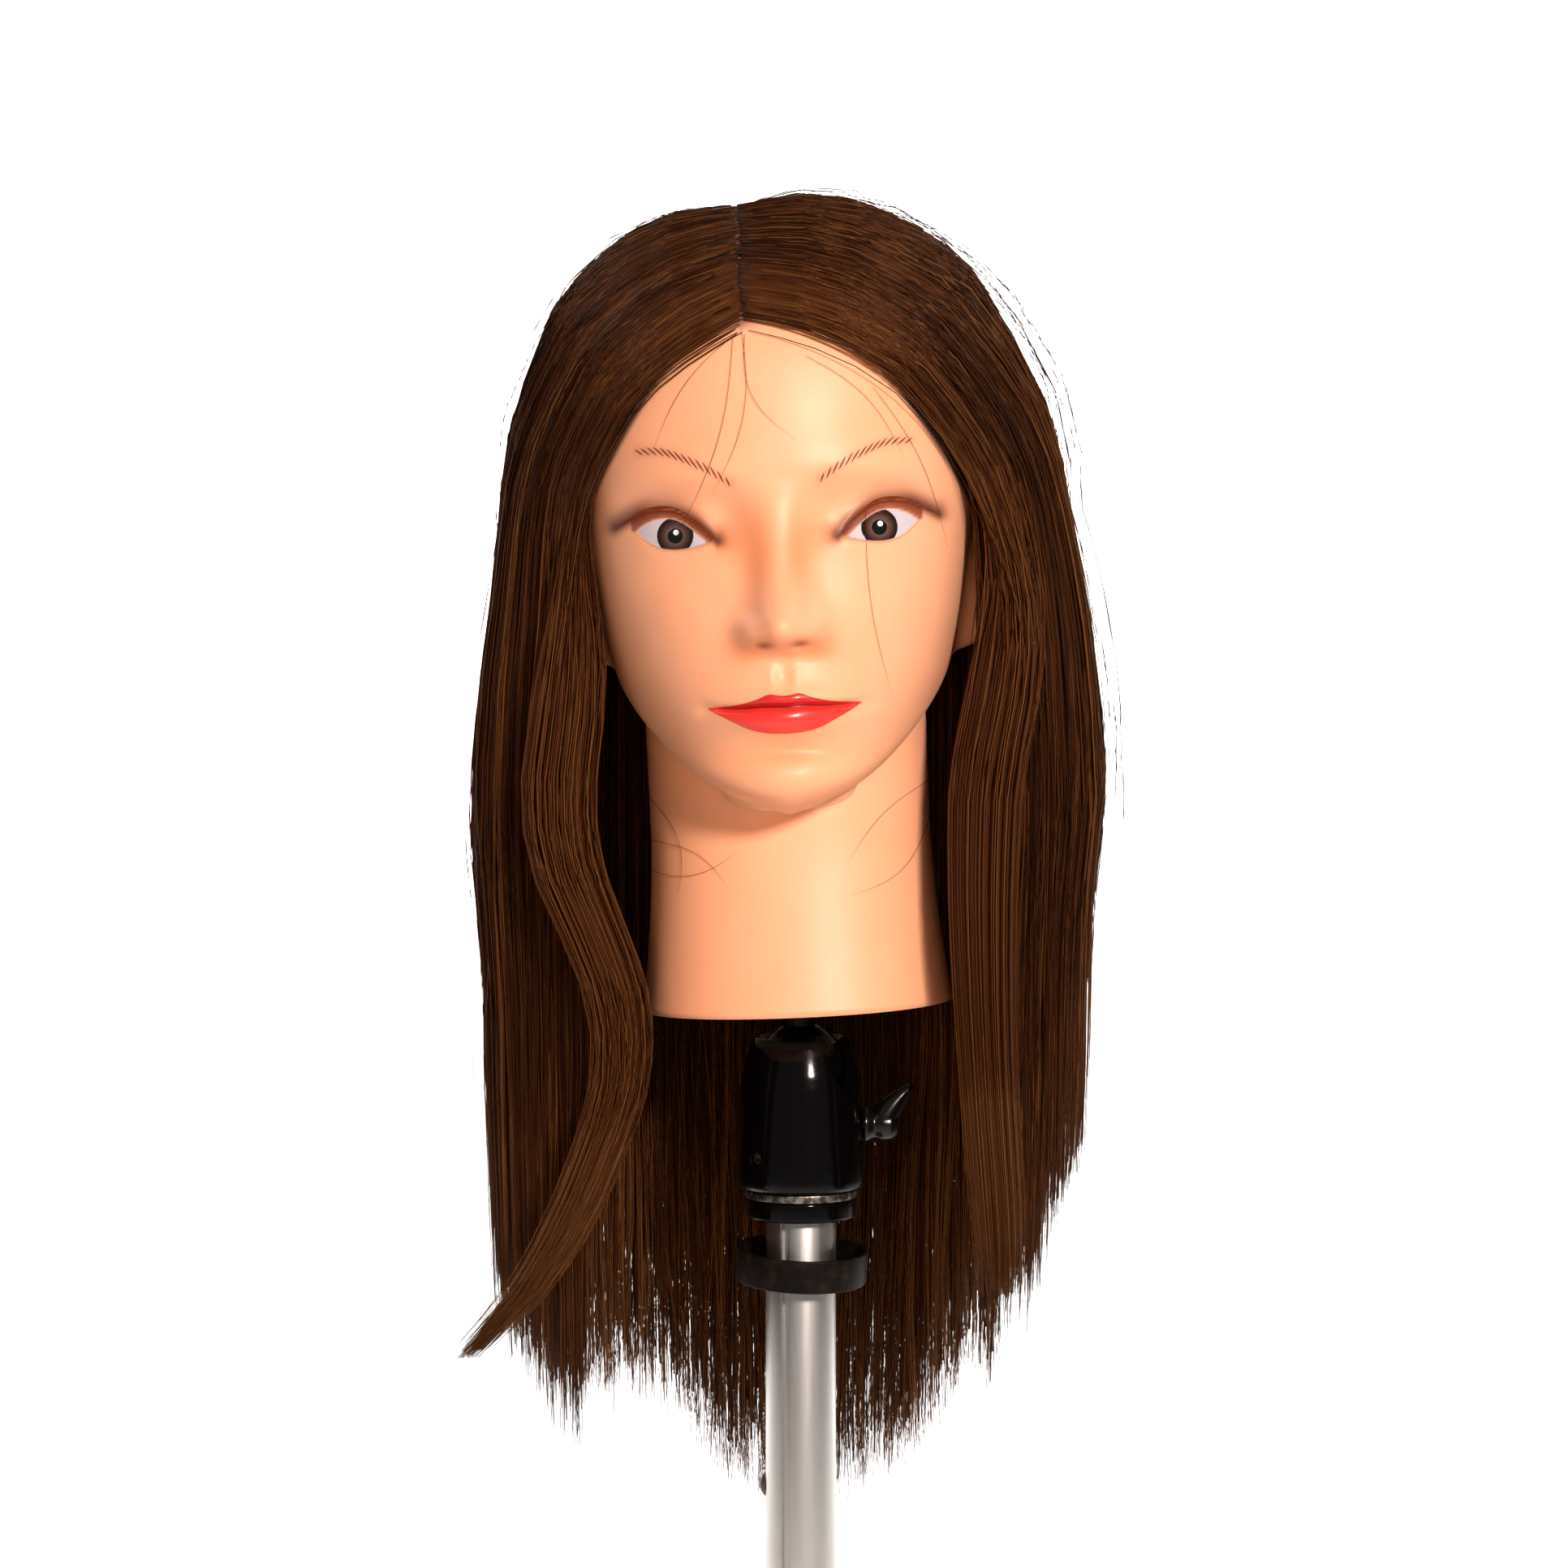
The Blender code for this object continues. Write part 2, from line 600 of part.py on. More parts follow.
# The ball, its stem and the grip cone, leaning with the head
head_axis = pivot("head_axis", (0.0, 0.0, BALL_Z), (0.0, -LEAN, 0.0))
STEM_FOOT_Z = 0.2560
STEM_TOP_Z = 0.3297
ball_profile = [(0.0, BALL_Z - BALL_R)]
BALL_ROWS = 12
for index in range(1, BALL_ROWS):
    angle = pi * index / BALL_ROWS
    ball_profile.append((BALL_R * sin(angle), BALL_Z - BALL_R * cos(angle)))
ball_profile = [(0.0, BALL_Z + BALL_R)] + ball_profile[:0:-1] + [(0.0, BALL_Z - BALL_R)]
tilt_ball = turned("tilt_ball", above(ball_profile, BALL_Z), BLACK_ENAMEL, head_axis, steps=24)
stem_hole = as_cutter(turned(
    "stem_hole",
    above(solid_cylinder(STEM_R - 0.0010 + GAP, STEM_FOOT_Z - GAP, 0.30), BALL_Z),
    None, head_axis, steps=SMALL_STEPS, group=cutters,
))
combine(tilt_ball, stem_hole)
SHOULDER_Z = BALL_Z + BALL_R + GAP
turned(
    "stem",
    above(
        [(0.0, 0.3190), (0.0027, 0.3190), (0.0027, STEM_TOP_Z), (STEM_R - 0.0005, STEM_TOP_Z),
         (STEM_R, STEM_TOP_Z - 0.0005), (STEM_R, SHOULDER_Z), (STEM_R - 0.0010, SHOULDER_Z),
         (STEM_R - 0.0010, STEM_FOOT_Z), (0.0, STEM_FOOT_Z)],
        BALL_Z,
    ),
    STEEL, head_axis, steps=20,
)
cone_profile = [(0.0027, CONE_TOP_Z), (0.0110, CONE_TOP_Z)]
RIBS = 5
for rib in range(RIBS):
    for part, dip in ((0.0, 0.0), (0.62, 0.0), (0.72, 0.0009), (0.92, 0.0009)):
        share = (rib + part) / RIBS
        cone_profile.append((0.0124 + 0.0044 * share - dip, CONE_TOP_Z - 0.0015 - 0.0580 * share))
cone_profile += [
    (0.0168, CONE_Z + 0.0008), (0.0160, CONE_Z), (STEM_R + GAP, CONE_Z), (STEM_R + GAP, STEM_TOP_Z + GAP),
    (0.0027, STEM_TOP_Z + GAP),
]
turned("grip_cone", above(cone_profile, BALL_Z), RUBBER, head_axis, ring=True, steps=24)
turned(
    "cone_washer",
    above(tube_profile(0.0027, 0.0080, CONE_TOP_Z + GAP, CONE_TOP_Z + 0.0013), BALL_Z),
    STEEL, head_axis, ring=True, steps=24,
)
SCREW_HEAD_Z = CONE_TOP_Z + 0.0016
turned(
    "cone_screw",
    above(
        [(0.0, SCREW_HEAD_Z + 0.0026), (0.0018, SCREW_HEAD_Z + 0.0026), (0.0018, SCREW_HEAD_Z + 0.0040),
         (0.0040, SCREW_HEAD_Z + 0.0040), (0.0045, SCREW_HEAD_Z + 0.0034), (0.0045, SCREW_HEAD_Z),
         (0.0024, SCREW_HEAD_Z), (0.0024, 0.3210), (0.0, 0.3205)],
        BALL_Z,
    ),
    STEEL, head_axis, steps=SMALL_STEPS,
)

# The head: a vinyl skin over a foam core, with a tapered socket and a base plate
SKIN_COLUMNS = 44
outer_azimuths = np.linspace(-pi, pi, SKIN_COLUMNS, endpoint=False)
outer_azimuths = outer_azimuths - 0.42 * np.sin(outer_azimuths)
outer_rows = np.concatenate([
    np.linspace(0, 4, 3, endpoint=False),
    np.linspace(4, 17, 28, endpoint=False),
    np.linspace(17, LAST_ROW, 8),
])
SKIN_SCALE, SKIN_INSET = 0.925, 0.0035
inner_rows = np.linspace(0, LAST_ROW - 0.9, 16)


def inside(azimuths, rows, inset, chin_fill=1.0):
    """The smooth hollow inside the skin; a core with less chin fill stops short of the chin."""
    radius, height = head_form(azimuths[None, :], rows)
    radius = np.maximum(radius * SKIN_SCALE - inset, 0.0)
    neck_only = 0.0410 + 0.06 * smooth_step(0.352, 0.400, height)
    radius = np.where(radius > neck_only, neck_only + (radius - neck_only) * chin_fill, radius)
    top = HEAD_ROWS[-1][0] - 0.0060 - (inset - SKIN_INSET)
    height = NECK_Z + (height - NECK_Z) * (top - NECK_Z) / (height[-1, 0] - NECK_Z)
    azimuth = azimuths[None, :]
    return np.stack([radius * np.sin(azimuth), -radius * np.cos(azimuth), height], axis=-1)


def pole(sheet):
    """Draws a sheet's last row together into one point."""
    sheet[-1, :, :2] = 0.0
    return sheet


def into_head_frame(sheet):
    """Moves points to the head's pivot, which is at the ball."""
    return sheet - np.array((0.0, 0.0, BALL_Z))


skin_outer = pole(head_surface(outer_azimuths, outer_rows))
skin_inner = pole(inside(outer_azimuths, inner_rows, SKIN_INSET))
add(
    "head_skin",
    grid_mesh("head_skin", into_head_frame(skin_outer), into_head_frame(skin_inner), True),
    VINYL, head_axis,
)

PLATE_TOP_Z = NECK_Z + 0.0026
core_outer = pole(inside(outer_azimuths, inner_rows, SKIN_INSET + 0.0012, chin_fill=0.0))
core_outer[0, :, 2] = PLATE_TOP_Z + GAP
core_mesh = bpy.data.meshes.new("head_core")
core = bmesh.new()
flat = into_head_frame(core_outer)
rings = [[core.verts.new(point) for point in row] for row in flat[:-1]]
peak = core.verts.new(flat[-1, 0])
for lower, upper in zip(rings, rings[1:]):
    for column in range(len(lower)):
        following = (column + 1) % len(lower)
        core.faces.new((lower[column], lower[following], upper[following], upper[column]))
for column in range(len(rings[-1])):
    core.faces.new((rings[-1][column], rings[-1][(column + 1) % len(rings[-1])], peak))
core.faces.new(rings[0][::-1])
bmesh.ops.recalc_face_normals(core, faces=core.faces)
core.to_mesh(core_mesh)
core.free()
head_core = add("head_core", core_mesh, FOAM, head_axis)
socket_hole = as_cutter(turned(
    "socket_hole",
    above(solid_cylinder(SOCKET_R + 0.0004, 0.2600, SOCKET_TOP_Z + 0.0004), BALL_Z),
    None, head_axis, steps=24, group=cutters,
))
combine(head_core, socket_hole)
turned(
    "neck_socket",
    above(
        [(0.0, SOCKET_TOP_Z), (SOCKET_R - 0.0030, SOCKET_TOP_Z), (SOCKET_R, SOCKET_TOP_Z - 0.0030),
         (SOCKET_R, NECK_Z), (0.0181, NECK_Z), (0.0172, CONE_Z + 0.0030),
         (0.0130, CONE_TOP_Z + 0.0010), (0.0100, SOCKET_TOP_Z - 0.0030), (0.0, SOCKET_TOP_Z - 0.0030)],
        BALL_Z,
    ),
    BEIGE_PLASTIC, head_axis, steps=24,
)
turned(
    "neck_base_plate",
    above(tube_profile(SOCKET_R + GAP, 0.0440, NECK_Z, PLATE_TOP_Z), BALL_Z),
    BEIGE_PLASTIC, head_axis, ring=True, steps=24,
)

# The hair: plain solids of the space each section fills, from the skin outwards
skin_tree = BVHTree.FromPolygons(
    [Vector(p) for p in skin_outer.reshape(-1, 3)],
    [
        (r * SKIN_COLUMNS + c, r * SKIN_COLUMNS + (c + 1) % SKIN_COLUMNS,
         (r + 1) * SKIN_COLUMNS + (c + 1) % SKIN_COLUMNS, (r + 1) * SKIN_COLUMNS + c)
        for r in range(len(outer_rows) - 1) for c in range(SKIN_COLUMNS)
    ],
)
SKULL = Vector((0.0, 0.004, 0.470))
HAIR_GAP = 0.0024
HANG_Z = 0.36                   # below this the hair hangs plumb and no longer leans


def skin_distance(start, direction, reach=0.2):
    """How far the skin is along a ray from inside the head."""
    hit = skin_tree.ray_cast(start, direction, reach)
    return hit[3] if hit[0] else 0.0


def crown(name, side):
    """Half of the crown, from the parting down to the top of the ear, as rays from the skull's centre."""
    tilts = np.radians(np.linspace(1.2, 88, 9))
    swings = np.radians(np.linspace(-58, 86, 11))
    outer = np.zeros((len(swings), len(tilts), 3))
    inner = np.zeros_like(outer)
    for row, swing in enumerate(swings):
        for column, tilt in enumerate(tilts):
            ray = Vector((side * cos(swing) * sin(tilt), sin(swing), cos(swing) * cos(tilt)))
            near = skin_distance(SKULL, ray) + HAIR_GAP
            fullness = 0.35 + 0.65 * float(smooth_step(radians(-58), radians(-20), swing))
            thick = 0.0045 + fullness * (0.004 + 0.018 * float(smooth_step(0.35, 1.5, tilt)))
            inner[row, column] = SKULL + ray * near
            outer[row, column] = SKULL + ray * (near + thick)
    shell = grid_mesh(name, into_head_frame(outer), into_head_frame(inner), False)
    return add(name, shell, HAIR, head_axis)


def hanging(name, side, start, end, top_z, low_z, thickness, columns, rows=9):
    """A curtain between two azimuths that hangs from the widest place above it."""
    azimuths = np.radians(np.linspace(start, end, columns))
    outer = np.zeros((rows, columns, 3))
    inner = np.zeros_like(outer)
    for column, azimuth in enumerate(azimuths):
        share = column / (columns - 1)
        bottom = low_z[0] + (low_z[1] - low_z[0]) * share
        heights = np.linspace(top_z, bottom, rows)
        widest = 0.0
        for row, height in enumerate(heights):
            ray = Vector((side * sin(azimuth), -cos(azimuth), 0.0))
            widest = max(widest, skin_distance(Vector((0.0, 0.0, float(height))), ray))
            plumb = min(0.0, float(height) - HANG_Z) * tan(LEAN)
            fall = float(smooth_step(0.0, 1.0, (top_z - height) / (top_z - bottom)))
            near = widest + HAIR_GAP + 0.0012 * min(1.0, row / 2)
            far = near + thickness[0] + (thickness[1] - thickness[0]) * min(1.0, 2.2 * fall)
            far -= (far - near) * 0.55 * float(smooth_step(0.75, 1.0, (top_z - height) / (top_z - bottom)))
            shift = Vector((plumb, 0.0, float(height)))
            inner[row, column] = shift + ray * near
            outer[row, column] = shift + ray * far
    shell = grid_mesh(name, into_head_frame(outer), into_head_frame(inner), False)
    return add(name, shell, HAIR, head_axis)


SECTION_TOP_Z = SKULL.z - 0.0012
for word, side in (("left", -1.0), ("right", 1.0)):
    crown(f"hair_crown_{word}", side)
    hanging(f"hair_front_{word}", side, 53, 74, 0.4600, (0.215, 0.150), (0.008, 0.026), 4)
    hanging(f"hair_side_{word}", side, 75, 116, SECTION_TOP_Z, (0.150, 0.130), (0.027, 0.040), 6)
    hanging(f"hair_back_{word}", side, 117, 179.2, SECTION_TOP_Z, (0.128, 0.092), (0.024, 0.030), 8)
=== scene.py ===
import bmesh
import bpy
import numpy as np
from math import radians
from mathutils import Matrix, Vector


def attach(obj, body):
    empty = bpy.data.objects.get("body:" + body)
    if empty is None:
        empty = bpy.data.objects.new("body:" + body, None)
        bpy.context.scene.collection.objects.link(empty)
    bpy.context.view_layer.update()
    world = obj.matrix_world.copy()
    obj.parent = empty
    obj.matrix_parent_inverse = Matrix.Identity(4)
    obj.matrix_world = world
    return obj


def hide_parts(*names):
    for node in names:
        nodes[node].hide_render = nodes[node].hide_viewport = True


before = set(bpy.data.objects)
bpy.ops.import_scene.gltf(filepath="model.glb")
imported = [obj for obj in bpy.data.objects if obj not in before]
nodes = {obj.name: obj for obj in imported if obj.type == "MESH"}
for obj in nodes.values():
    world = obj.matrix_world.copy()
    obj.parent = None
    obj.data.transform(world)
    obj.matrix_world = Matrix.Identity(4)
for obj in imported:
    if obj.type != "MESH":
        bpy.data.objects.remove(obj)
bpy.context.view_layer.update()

# The camera stands as high as the middle of the nose, about a metre and a half in front. Its long lens looks
# a little down at the head and its column. The foot of the column is below its view.
CAMERA_DISTANCE, CAMERA_HEIGHT = 1.560, 0.4273
LOOK_DOWN = radians(2.80)
lens = bpy.data.cameras.new("camera")
lens.lens, lens.sensor_width = 100.0, 35.6
lens.clip_start, lens.clip_end = 0.05, 30.0
camera = bpy.data.objects.new("camera", lens)
camera.location = (-0.0060, -CAMERA_DISTANCE, CAMERA_HEIGHT)
camera.rotation_euler = (radians(90) - LOOK_DOWN, 0.0, 0.0)
bpy.context.scene.collection.objects.link(camera)
bpy.context.scene.camera = camera
bpy.context.scene.view_settings.view_transform = "Standard"


# The studio: a white paper sweep lit from behind the head, a small warm key light from the right, and a weak
# low fill that reaches the hair behind the holder.
def linear(code):
    """An sRGB hex colour as linear red, green, blue and alpha."""
    values = np.array([int(code[i:i + 2], 16) for i in (0, 2, 4)]) / 255
    values = np.where(values <= 0.04045, values / 12.92, ((values + 0.055) / 1.055) ** 2.4)
    return (*values.tolist(), 1.0)


def node(tree, kind, links=(), **settings):
    """Adds a shader node: settings are attributes, or sockets by name; links are (socket, source)."""
    made = tree.nodes.new(kind)
    for name, value in settings.items():
        if hasattr(made, name):
            setattr(made, name, value)
        else:
            made.inputs[name.replace("_", " ")].default_value = value
    for socket, source in links:
        tree.links.new(source, made.inputs[socket])
    return made


def material(name, colour, roughness, **sockets):
    """A Principled material; returns it, its node tree and its shader."""
    made = bpy.data.materials.new(name)
    made.use_nodes = True
    shader = made.node_tree.nodes["Principled BSDF"]
    shader.inputs["Base Color"].default_value = linear(colour)
    shader.inputs["Roughness"].default_value = roughness
    for socket, value in sockets.items():
        shader.inputs[socket.replace("_", " ")].default_value = value
    return made, made.node_tree, shader


def build(name, points, quads, triangles=None):
    """A mesh object at the origin from arrays of points, four-sided and three-sided faces."""
    points = np.asarray(points, dtype=np.float32).reshape(-1, 3)
    quads = np.asarray(quads, dtype=np.int32).reshape(-1, 4)
    triangles = np.zeros((0, 3), np.int32) if triangles is None else np.asarray(triangles, np.int32)
    corners = np.concatenate([quads.ravel(), triangles.ravel()])
    sizes = np.concatenate([np.full(len(quads), 4), np.full(len(triangles), 3)])
    mesh = bpy.data.meshes.new(name)
    mesh.vertices.add(len(points))
    mesh.vertices.foreach_set("co", points.ravel())
    mesh.loops.add(len(corners))
    mesh.loops.foreach_set("vertex_index", corners)
    mesh.polygons.add(len(sizes))
    mesh.polygons.foreach_set("loop_start", np.concatenate([[0], np.cumsum(sizes)[:-1]]).astype(np.int32))
    mesh.polygons.foreach_set("loop_total", sizes.astype(np.int32))
    mesh.polygons.foreach_set("use_smooth", np.ones(len(sizes), dtype=bool))
    mesh.update(calc_edges=True)
    mesh.validate()
    made = bpy.data.objects.new(name, mesh)
    bpy.context.scene.collection.objects.link(made)
    return made


def attribute(piece, name, values):
    """A number kept on each point of a piece."""
    layer = piece.data.attributes.new(name, "FLOAT", "POINT")
    layer.data.foreach_set("value", np.asarray(values, dtype=np.float32).ravel())


FLOOR_HALF, FLOOR_FRONT, SWEEP_BACK, SWEEP_RADIUS, SWEEP_TOP = 4.0, -4.0, 1.6, 0.8, 4.0
bend = np.linspace(0, np.pi / 2, 17)
profile = np.concatenate([
    [(FLOOR_FRONT, 0.0)],
    np.stack([SWEEP_BACK + SWEEP_RADIUS * np.sin(bend), SWEEP_RADIUS * (1 - np.cos(bend))], axis=1),
    [(SWEEP_BACK + SWEEP_RADIUS, SWEEP_TOP)],
])
sheet = np.stack([
    np.stack([np.full(len(profile), side * FLOOR_HALF), profile[:, 0], profile[:, 1]], axis=1)
    for side in (-1, 1)
])
cells = np.arange(len(profile) - 1)
sweep = build(
    "paper_sweep", sheet,
    np.stack([cells, cells + len(profile), cells + len(profile) + 1, cells + 1], axis=1),
)
paper, _, _ = material("matt white paper", "ffffff", 0.9)
sweep.data.materials.append(paper)
world = bpy.data.worlds.new("studio")
bpy.context.scene.world = world
world.use_nodes = True
world.node_tree.nodes["Background"].inputs["Color"].default_value = (1.0, 1.0, 1.0, 1.0)
world.node_tree.nodes["Background"].inputs["Strength"].default_value = 0.13
AIM, LOW_AIM, PAPER_AIM = (0.0, 0.0, 0.40), (0.0, 0.0, 0.24), (0.0, 2.4, 0.3)


def softbox(name, place, aim, size, watts, colour, spread):
    """A square soft light that faces a point, its beam no wider than spread."""
    lamp = bpy.data.lights.new(name, "AREA")
    lamp.shape, lamp.size, lamp.spread = "SQUARE", size, radians(spread)
    lamp.energy, lamp.color = watts, linear(colour)[:3]
    made = bpy.data.objects.new(name, lamp)
    made.location = place
    made.rotation_euler = (Vector(aim) - Vector(place)).to_track_quat("-Z", "Y").to_euler()
    bpy.context.scene.collection.objects.link(made)
    return made


softbox("key_light", (0.66, -1.72, 0.94), AIM, 0.24, 3.1, "fff0ea", 50)
low_fill = softbox("low_fill", (-0.20, -1.70, 0.36), LOW_AIM, 0.6, 1.0, "ffd0ac", 60)
low_fill.visible_glossy = False
for side in (-1, 1):
    softbox(f"paper_light_{side}", (side * 1.7, 0.9, 1.8), PAPER_AIM, 1.0, 50.0, "ffffff", 120)

# The head: soft vinyl, cast hollow in one piece with its face and ears, and cut flat under the neck.
# Its surface is worked out in its own upright frame, as an oval for each height, and then leans about the ball.
# Rows of the head are height, half width, and depth in front of and behind the neck's axis.
BALL = np.array((0.0, 0.0, 0.2510))
LEAN = radians(2.5)
NECK_Z = 0.2733
HEAD_ROWS = np.array((
    (0.2733, 0.004, 0.010, 0.010), (0.2950, 0.004, 0.014, 0.014), (0.3150, 0.004, 0.020, 0.018),
    (0.3290, 0.030, 0.070, 0.024), (0.3370, 0.035, 0.0790, 0.032), (0.3420, 0.037, 0.0830, 0.040),
    (0.3470, 0.0390, 0.0855, 0.047), (0.3540, 0.0418, 0.0872, 0.054), (0.3620, 0.0450, 0.0868, 0.061),
    (0.3700, 0.0486, 0.0865, 0.067), (0.3800, 0.0530, 0.0880, 0.073), (0.3910, 0.0575, 0.0890, 0.079),
    (0.4020, 0.0605, 0.0890, 0.084), (0.4140, 0.0635, 0.0885, 0.088), (0.4280, 0.0665, 0.0880, 0.092),
    (0.4450, 0.0695, 0.0885, 0.095), (0.4650, 0.0722, 0.0898, 0.096), (0.4850, 0.0730, 0.0885, 0.094),
    (0.5050, 0.0702, 0.0830, 0.088), (0.5220, 0.0635, 0.0725, 0.078), (0.5360, 0.0530, 0.0585, 0.064),
    (0.5465, 0.0385, 0.0420, 0.046), (0.5530, 0.0215, 0.0235, 0.026), (0.5555, 0.0000, 0.0000, 0.000),
))
LAST_ROW = len(HEAD_ROWS) - 1
JAW_Z, JAW_RISE, JAW_ROUND, JAW_POWER = 0.3425, 0.0370, 0.0150, 3.6
NOSE_PROFILE = np.array((
    (0.3925, 0.0), (0.3985, 0.0010), (0.4005, 0.0042), (0.4023, 0.0082), (0.4050, 0.0112), (0.4088, 0.0122),
    (0.4135, 0.0118), (0.4200, 0.0102), (0.4300, 0.0070), (0.4400, 0.0038), (0.4480, 0.0018), (0.4580, 0.0),
))


def through(knots, at):
    """A Catmull-Rom curve through rows of knots, read at row numbers."""
    last = len(knots) - 1
    low = np.clip(np.floor(at).astype(int), 0, last - 1)
    part = (at - low)[..., None]
    before, here = knots[np.clip(low - 1, 0, last)], knots[low]
    there, after = knots[low + 1], knots[np.clip(low + 2, 0, last)]
    return 0.5 * (
        2 * here + (there - before) * part + (2 * before - 5 * here + 4 * there - after) * part**2
        + (3 * here - before - 3 * there + after) * part**3
    )


def smooth(low, high, value):
    """0 below low, 1 above high, and an S between."""
    part = np.clip((value - low) / (high - low), 0.0, 1.0)
    return part * part * (3 - 2 * part)


def hump(across, up, centre_across, centre_up, width, height, power=2.0):
    """A smooth hump of 1 at its centre."""
    return np.exp(
        -np.abs((across - centre_across) / width) ** power - np.abs((up - centre_up) / height) ** power
    )


def along(points, at):
    """A smooth curve of y over x through points, with slopes taken from their neighbours."""
    x, y = np.asarray(points).T
    slope = np.gradient(y, x)
    low = np.clip(np.searchsorted(x, at) - 1, 0, len(x) - 2)
    width = x[low + 1] - x[low]
    part = np.clip((at - x[low]) / width, 0.0, 1.0)
    return (
        (2 * part**3 - 3 * part**2 + 1) * y[low] + (part**3 - 2 * part**2 + part) * width * slope[low]
        + (3 * part**2 - 2 * part**3) * y[low + 1] + (part**3 - part**2) * width * slope[low + 1]
    )


def oval(azimuth, width, front, back, power=2.15):
    """The radius of an oval with unlike front and back depths."""
    depth = np.where(np.cos(azimuth) > 0, front, back)
    width, depth = np.maximum(width, 1e-5), np.maximum(depth, 1e-5)
    return (
        np.abs(np.sin(azimuth) / width) ** power + np.abs(np.cos(azimuth) / depth) ** power
    ) ** (-1 / power)


def head_form(azimuth, row):
    """Radius and height of the head without its features, its neck blended in."""
    height, width, front, back = np.moveaxis(through(HEAD_ROWS, row), -1, 0)
    width, front, back = np.maximum(width, 0), np.maximum(front, 0), np.maximum(back, 0)
    head = oval(azimuth, width, front, back)
    jaw = JAW_Z + JAW_RISE * (np.abs(azimuth) / radians(80)) ** 1.25
    under = np.clip((height - jaw) / JAW_ROUND, 0.0, 1.0)
    head = head * np.clip(1 - (1 - under) ** JAW_POWER, 0.0, 1.0) ** (1 / JAW_POWER)
    flare = np.clip((0.335 - height) / (0.335 - NECK_Z), 0.0, 1.0) ** 1.6
    neck = oval(azimuth, 0.0495 + 0.0055 * flare, 0.0455 + 0.0085 * flare, 0.0520)
    neck = neck * (1 - smooth(0.40, 0.50, height))
    soft = (0.0024 + 0.0036 * smooth(0.345, 0.385, height)) * (1 - smooth(0.40, 0.48, height))
    return 0.5 * (head + neck + np.sqrt((head - neck) ** 2 + soft**2)), np.broadcast_to(height, head.shape)


# Lines of the eye, outwards and upwards from its centre, and of the brow and lips from the middle of the face
EYE = (0.0344, 0.4400)
EYE_OPEN = (-0.0113, 0.0137)
LID_TOP = ((-0.0113, -0.0028), (-0.0061, 0.0017), (-0.0020, 0.0046), (0.0050, 0.0059), (0.0100, 0.0043),
           (0.0137, 0.0019))
LID_LOW = ((-0.0113, -0.0028), (-0.0086, -0.0036), (-0.0036, -0.0045), (0.0020, -0.0046), (0.0080, -0.0027),
           (0.0137, 0.0019))
CREASE = ((-0.0140, -0.0026), (-0.0129, -0.0014), (-0.0066, 0.0045), (-0.0020, 0.0078), (0.0050, 0.0092),
          (0.0110, 0.0082), (0.0163, 0.0058), (0.0205, 0.0036))
BROW = ((0.0150, 0.4566), (0.0216, 0.4611), (0.0288, 0.4647), (0.0335, 0.4668), (0.0383, 0.4683),
        (0.0455, 0.4686))
MOUTH_HALF = 0.0258
LIP_TOP = ((-0.0001, 0.3852), (0.0020, 0.3854), (0.0049, 0.3858), (0.0095, 0.3842), (0.0158, 0.3826),
           (0.0258, 0.3817))
LIP_LINE = ((-0.0001, 0.3813), (0.0060, 0.3816), (0.0150, 0.3812), (0.0258, 0.3815))
LIP_LOW = ((-0.0001, 0.3723), (0.0060, 0.3727), (0.0120, 0.3742), (0.0174, 0.3768), (0.0223, 0.3793),
           (0.0258, 0.3813))


# Soft humps and hollows of the face: how far each stands out, its place across and up, its half width and half
# height, and how square its top is
FACE_HUMPS = (
    (-0.0078, 0.0330, 0.4430, 0.0165, 0.0110, 2.0),     # eye socket
    (-0.0030, 0.0170, 0.4460, 0.0070, 0.0090, 2.0),     # inner corner of the socket
    (0.0046, 0.0345, 0.4405, 0.0150, 0.0085, 3.0),      # eyeball under its lids
    (0.0022, 0.0330, 0.4600, 0.0200, 0.0060, 2.0),      # brow
    (0.0044, 0.0, 0.4078, 0.0080, 0.0066, 2.0),         # tip of the nose
    (0.0034, 0.0, 0.4090, 0.0165, 0.0110, 2.0),         # foot of the nose
    (0.0046, 0.0116, 0.4066, 0.0046, 0.0050, 2.0),      # wing of the nose
    (-0.0024, 0.0058, 0.4022, 0.0026, 0.0013, 2.0),     # nostril
    (0.0030, 0.0400, 0.4130, 0.0200, 0.0180, 2.0),      # cheek
    (0.0050, 0.0, 0.3820, 0.0260, 0.0140, 2.0),         # round of the mouth
    (-0.0013, 0.0, 0.3915, 0.0028, 0.0050, 2.0),        # groove above the lip
    (0.0005, 0.0042, 0.3910, 0.0018, 0.0050, 2.0),      # edge of that groove
    (0.0026, 0.0, 0.3842, 0.0190, 0.0034, 2.0),         # upper lip
    (0.0038, 0.0, 0.3768, 0.0170, 0.0040, 2.0),         # lower lip
    (-0.0014, 0.0268, 0.3812, 0.0030, 0.0026, 2.0),     # corner of the mouth
    (-0.0030, 0.0, 0.3665, 0.0170, 0.0045, 2.0),        # hollow under the lip
    (0.0024, 0.0, 0.3590, 0.0150, 0.0065, 2.0),         # chin
)


